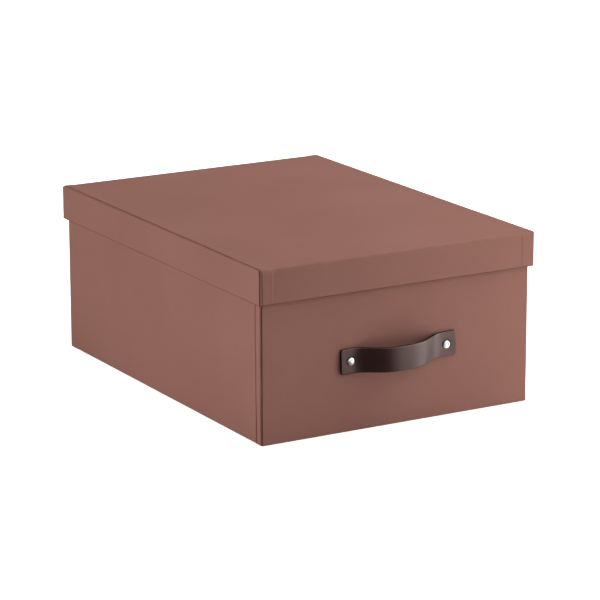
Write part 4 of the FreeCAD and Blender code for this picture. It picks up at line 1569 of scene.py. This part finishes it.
@dataclass
class Studio:
    """Pale floor, soft lamps, white surroundings and the camera.

    Attributes:
        ambient: Strength of the even light from all round.
        floor_colour: How much light the floor sends back.
        floor_glow: White that the camera sees added to the floor.
        dark_side: Direction of the dark side of the room, which only reflections show.
        dark_ways: Part of a direction that points there, from where it darkens to where it is dark.
        dark_floor: The same for places on the floor, in metres.
        dark_room: Brightness of that side.
        camera_place: Where the camera stands, in metres.
        azimuth: Direction of the camera round the object, in degrees.
        elevation: Height of the camera's line of sight, in degrees.
        roll: Turn of the camera about its line of sight, in degrees.
        lens: Focal length in mm on a 36 mm frame.
        floor_reach: Middle of the floor to its edges, in mm.
        floor_level: Height of the floor, just under the box, in mm.
        lamps: The lamps.
    """

    ambient: float = 0.08
    floor_colour: float = 0.88
    floor_glow: float = 0.87
    dark_side: Triple = (-1.0, 0.0, 0.0)
    dark_ways: tuple[float, float] = (0.2, 0.7)
    dark_floor: tuple[float, float] = (-0.12, 0.03)
    dark_room: float = 0.003
    camera_place: Triple = (-1.27107, -2.21505, 0.73832)
    azimuth: float = -30.026
    elevation: float = 14.748
    roll: float = -0.13
    lens: float = 181.37
    floor_reach: float = 8000.0
    floor_level: float = -0.3
    lamps: tuple[SoftBox, ...] = (
        SoftBox("left", (-1.7, -0.4, 0.8), (0.0, 0.0, 0.08), (1.2, 1.2), 1.9),
        SoftBox("left_low", (-1.6, 0.1, 0.4), (0.0, 0.0, 0.08), (0.8, 0.8), 9.9),
        SoftBox("left_near", (-0.75, -0.1, 0.12), (-0.13, 0.0, 0.08), (0.5, 0.2), 0.7),
        SoftBox("left_foot", (-0.215, 0.0, 0.02), (-0.13, 0.0, 0.015), (0.34, 0.02), 0.015),
        SoftBox("key_near", (0.5, -0.45, 0.12), (0.0, -0.18, 0.07), (0.35, 0.2), 1.2),
        SoftBox("key_high", (0.8, -0.8, 0.75), (0.0, -0.18, 0.07), (0.5, 0.5), 4.6),
        SoftBox("top", (0.1, 0.1, 1.7), (0.0, 0.0, 0.08), (1.6, 1.6), 5.6),
        SoftBox("top_right", (1.1, -0.2, 1.4), (0.0, 0.0, 0.08), (1.2, 1.2), 22.2),
        SoftBox("rear", (0.3, 1.3, 0.06), (0.0, 0.18, 0.07), (1.0, 0.1), 9.5),
    )

    def build_camera(self) -> None:
        """Place the camera, with back axis (sin a cos e, -cos a cos e, sin e) at azimuth a, elevation e."""
        turn, rise, roll = (math.radians(value) for value in (self.azimuth, self.elevation, self.roll))
        back = Vector((math.sin(turn) * math.cos(rise), -math.cos(turn) * math.cos(rise), math.sin(rise)))
        right = Vector((math.cos(turn), math.sin(turn), 0.0))
        up = back.cross(right)
        across = math.cos(roll) * right + math.sin(roll) * up
        upright = -math.sin(roll) * right + math.cos(roll) * up
        data = bpy.data.cameras.new("camera")
        data.lens = self.lens
        data.sensor_width = 36.0
        data.sensor_fit = "AUTO"
        data.clip_start = 0.05
        data.clip_end = 50.0
        camera = bpy.data.objects.new("camera", data)
        camera.matrix_world = Matrix.Translation(Vector(self.camera_place)) @ Matrix(
            (across, upright, back)).transposed().to_4x4()
        bpy.context.scene.collection.objects.link(camera)
        bpy.context.scene.camera = camera

    def build_world(self) -> None:
        """Even light from all round, plain white where the camera or a reflection sees it, and a dark side
        of the room that only reflections see.
        """
        world = bpy.data.worlds.new("surroundings")
        world.use_nodes = True
        nodes = Nodes(world.node_tree)
        pure = (1.0, 1.0, 1.0, 1.0)
        even, white, dark = [nodes.add("Background", color=pure, strength=strength).outputs[0]
                             for strength in (self.ambient, 1.0, self.dark_room)]
        bright = nodes.mixed(nodes.looking(), even, white)
        way = nodes.add("TexCoord").outputs["Generated"]
        surface = nodes.mixed(self.toward_dark_side(nodes, way, *self.dark_ways), bright, dark)
        nodes.link(surface, nodes.add("OutputWorld"), "Surface")
        bpy.context.scene.world = world

    def toward_dark_side(self, nodes: Nodes, way: Socket, low: float,
                         high: float) -> Socket:
        """How far a reflection looks towards the dark side of the room, which is fixed to the room.

        Args:
            nodes: Nodes to add to.
            way: Direction of the reflected ray, or the place that it meets.
            low: Reach towards the dark side at which it starts to darken.
            high: Reach at which it is dark.

        Returns:
            0 for every other ray, and up to 1 for a reflection of the dark side.
        """
        along = nodes.add("VectorMath")
        along.operation = "DOT_PRODUCT"
        nodes.link(way, along, 0)
        along.inputs[1].default_value = self.dark_side
        share = nodes.spread(along.outputs["Value"], low, high)
        return nodes.count("MULTIPLY", share, nodes.add("LightPath").outputs["Is Glossy Ray"])

    def floor_finish(self) -> bpy.types.Material:
        """White paint that keeps a shadow, a glow that is only looked at, and the room's dark side."""
        material = bpy.data.materials.new("white_floor")
        material.use_nodes = True
        nodes = Nodes(material.node_tree)
        paint = nodes.add("BsdfDiffuse", color=(self.floor_colour,) * 3 + (1.0,))
        glow = nodes.add("Emission")
        nodes.link(nodes.count("MULTIPLY", nodes.looking(), self.floor_glow), glow, "Strength")
        bright = nodes.add("AddShader")
        nodes.link(paint.outputs[0], bright, 0)
        nodes.link(glow.outputs[0], bright, 1)
        dim = nodes.add("Emission", strength=self.dark_room)
        place = nodes.add("TexCoord").outputs["Object"]
        shaded = self.toward_dark_side(nodes, place, *self.dark_floor)
        surface = nodes.mixed(shaded, bright.outputs[0], dim.outputs[0])
        nodes.link(surface, nodes.add("OutputMaterial"), "Surface")
        return material

    def build_floor(self) -> None:
        """White floor just under the box, which keeps a soft shadow."""
        reach, level = self.floor_reach, self.floor_level
        points = np.array([[[-reach, -reach, level], [-reach, reach, level]],
                           [[reach, -reach, level], [reach, reach, level]]])
        mesh = bpy.data.meshes.new("floor")
        mesh.from_pydata((points.reshape(-1, 3) * MM).tolist(), [], Patch(points).faces().tolist())
        mesh.materials.append(self.floor_finish())
        floor = bpy.data.objects.new("floor", mesh)
        bpy.context.scene.collection.objects.link(floor)

    def build(self) -> None:
        """Set up the camera, the surroundings, the floor and the lamps."""
        bpy.context.scene.view_settings.view_transform = "Standard"
        self.build_camera()
        self.build_world()
        self.build_floor()
        for lamp in self.lamps:
            lamp.build()


def main() -> None:
    """Build the storage box in order, from its covering to the studio round it."""
    logging.basicConfig(level=logging.INFO, format="%(name)s: %(message)s")
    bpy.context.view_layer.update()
    Studio().build()
    finishes = Finishes.mix()
    CarriedParts(finishes).dress()
    BoxCovering(finishes).build()
    LidCovering(finishes).build()
    LidBoards(finishes).build()
    StrapHandle(finishes).build_strap()
    Fastening(finishes).build()


if __name__ == "__main__":
    main()
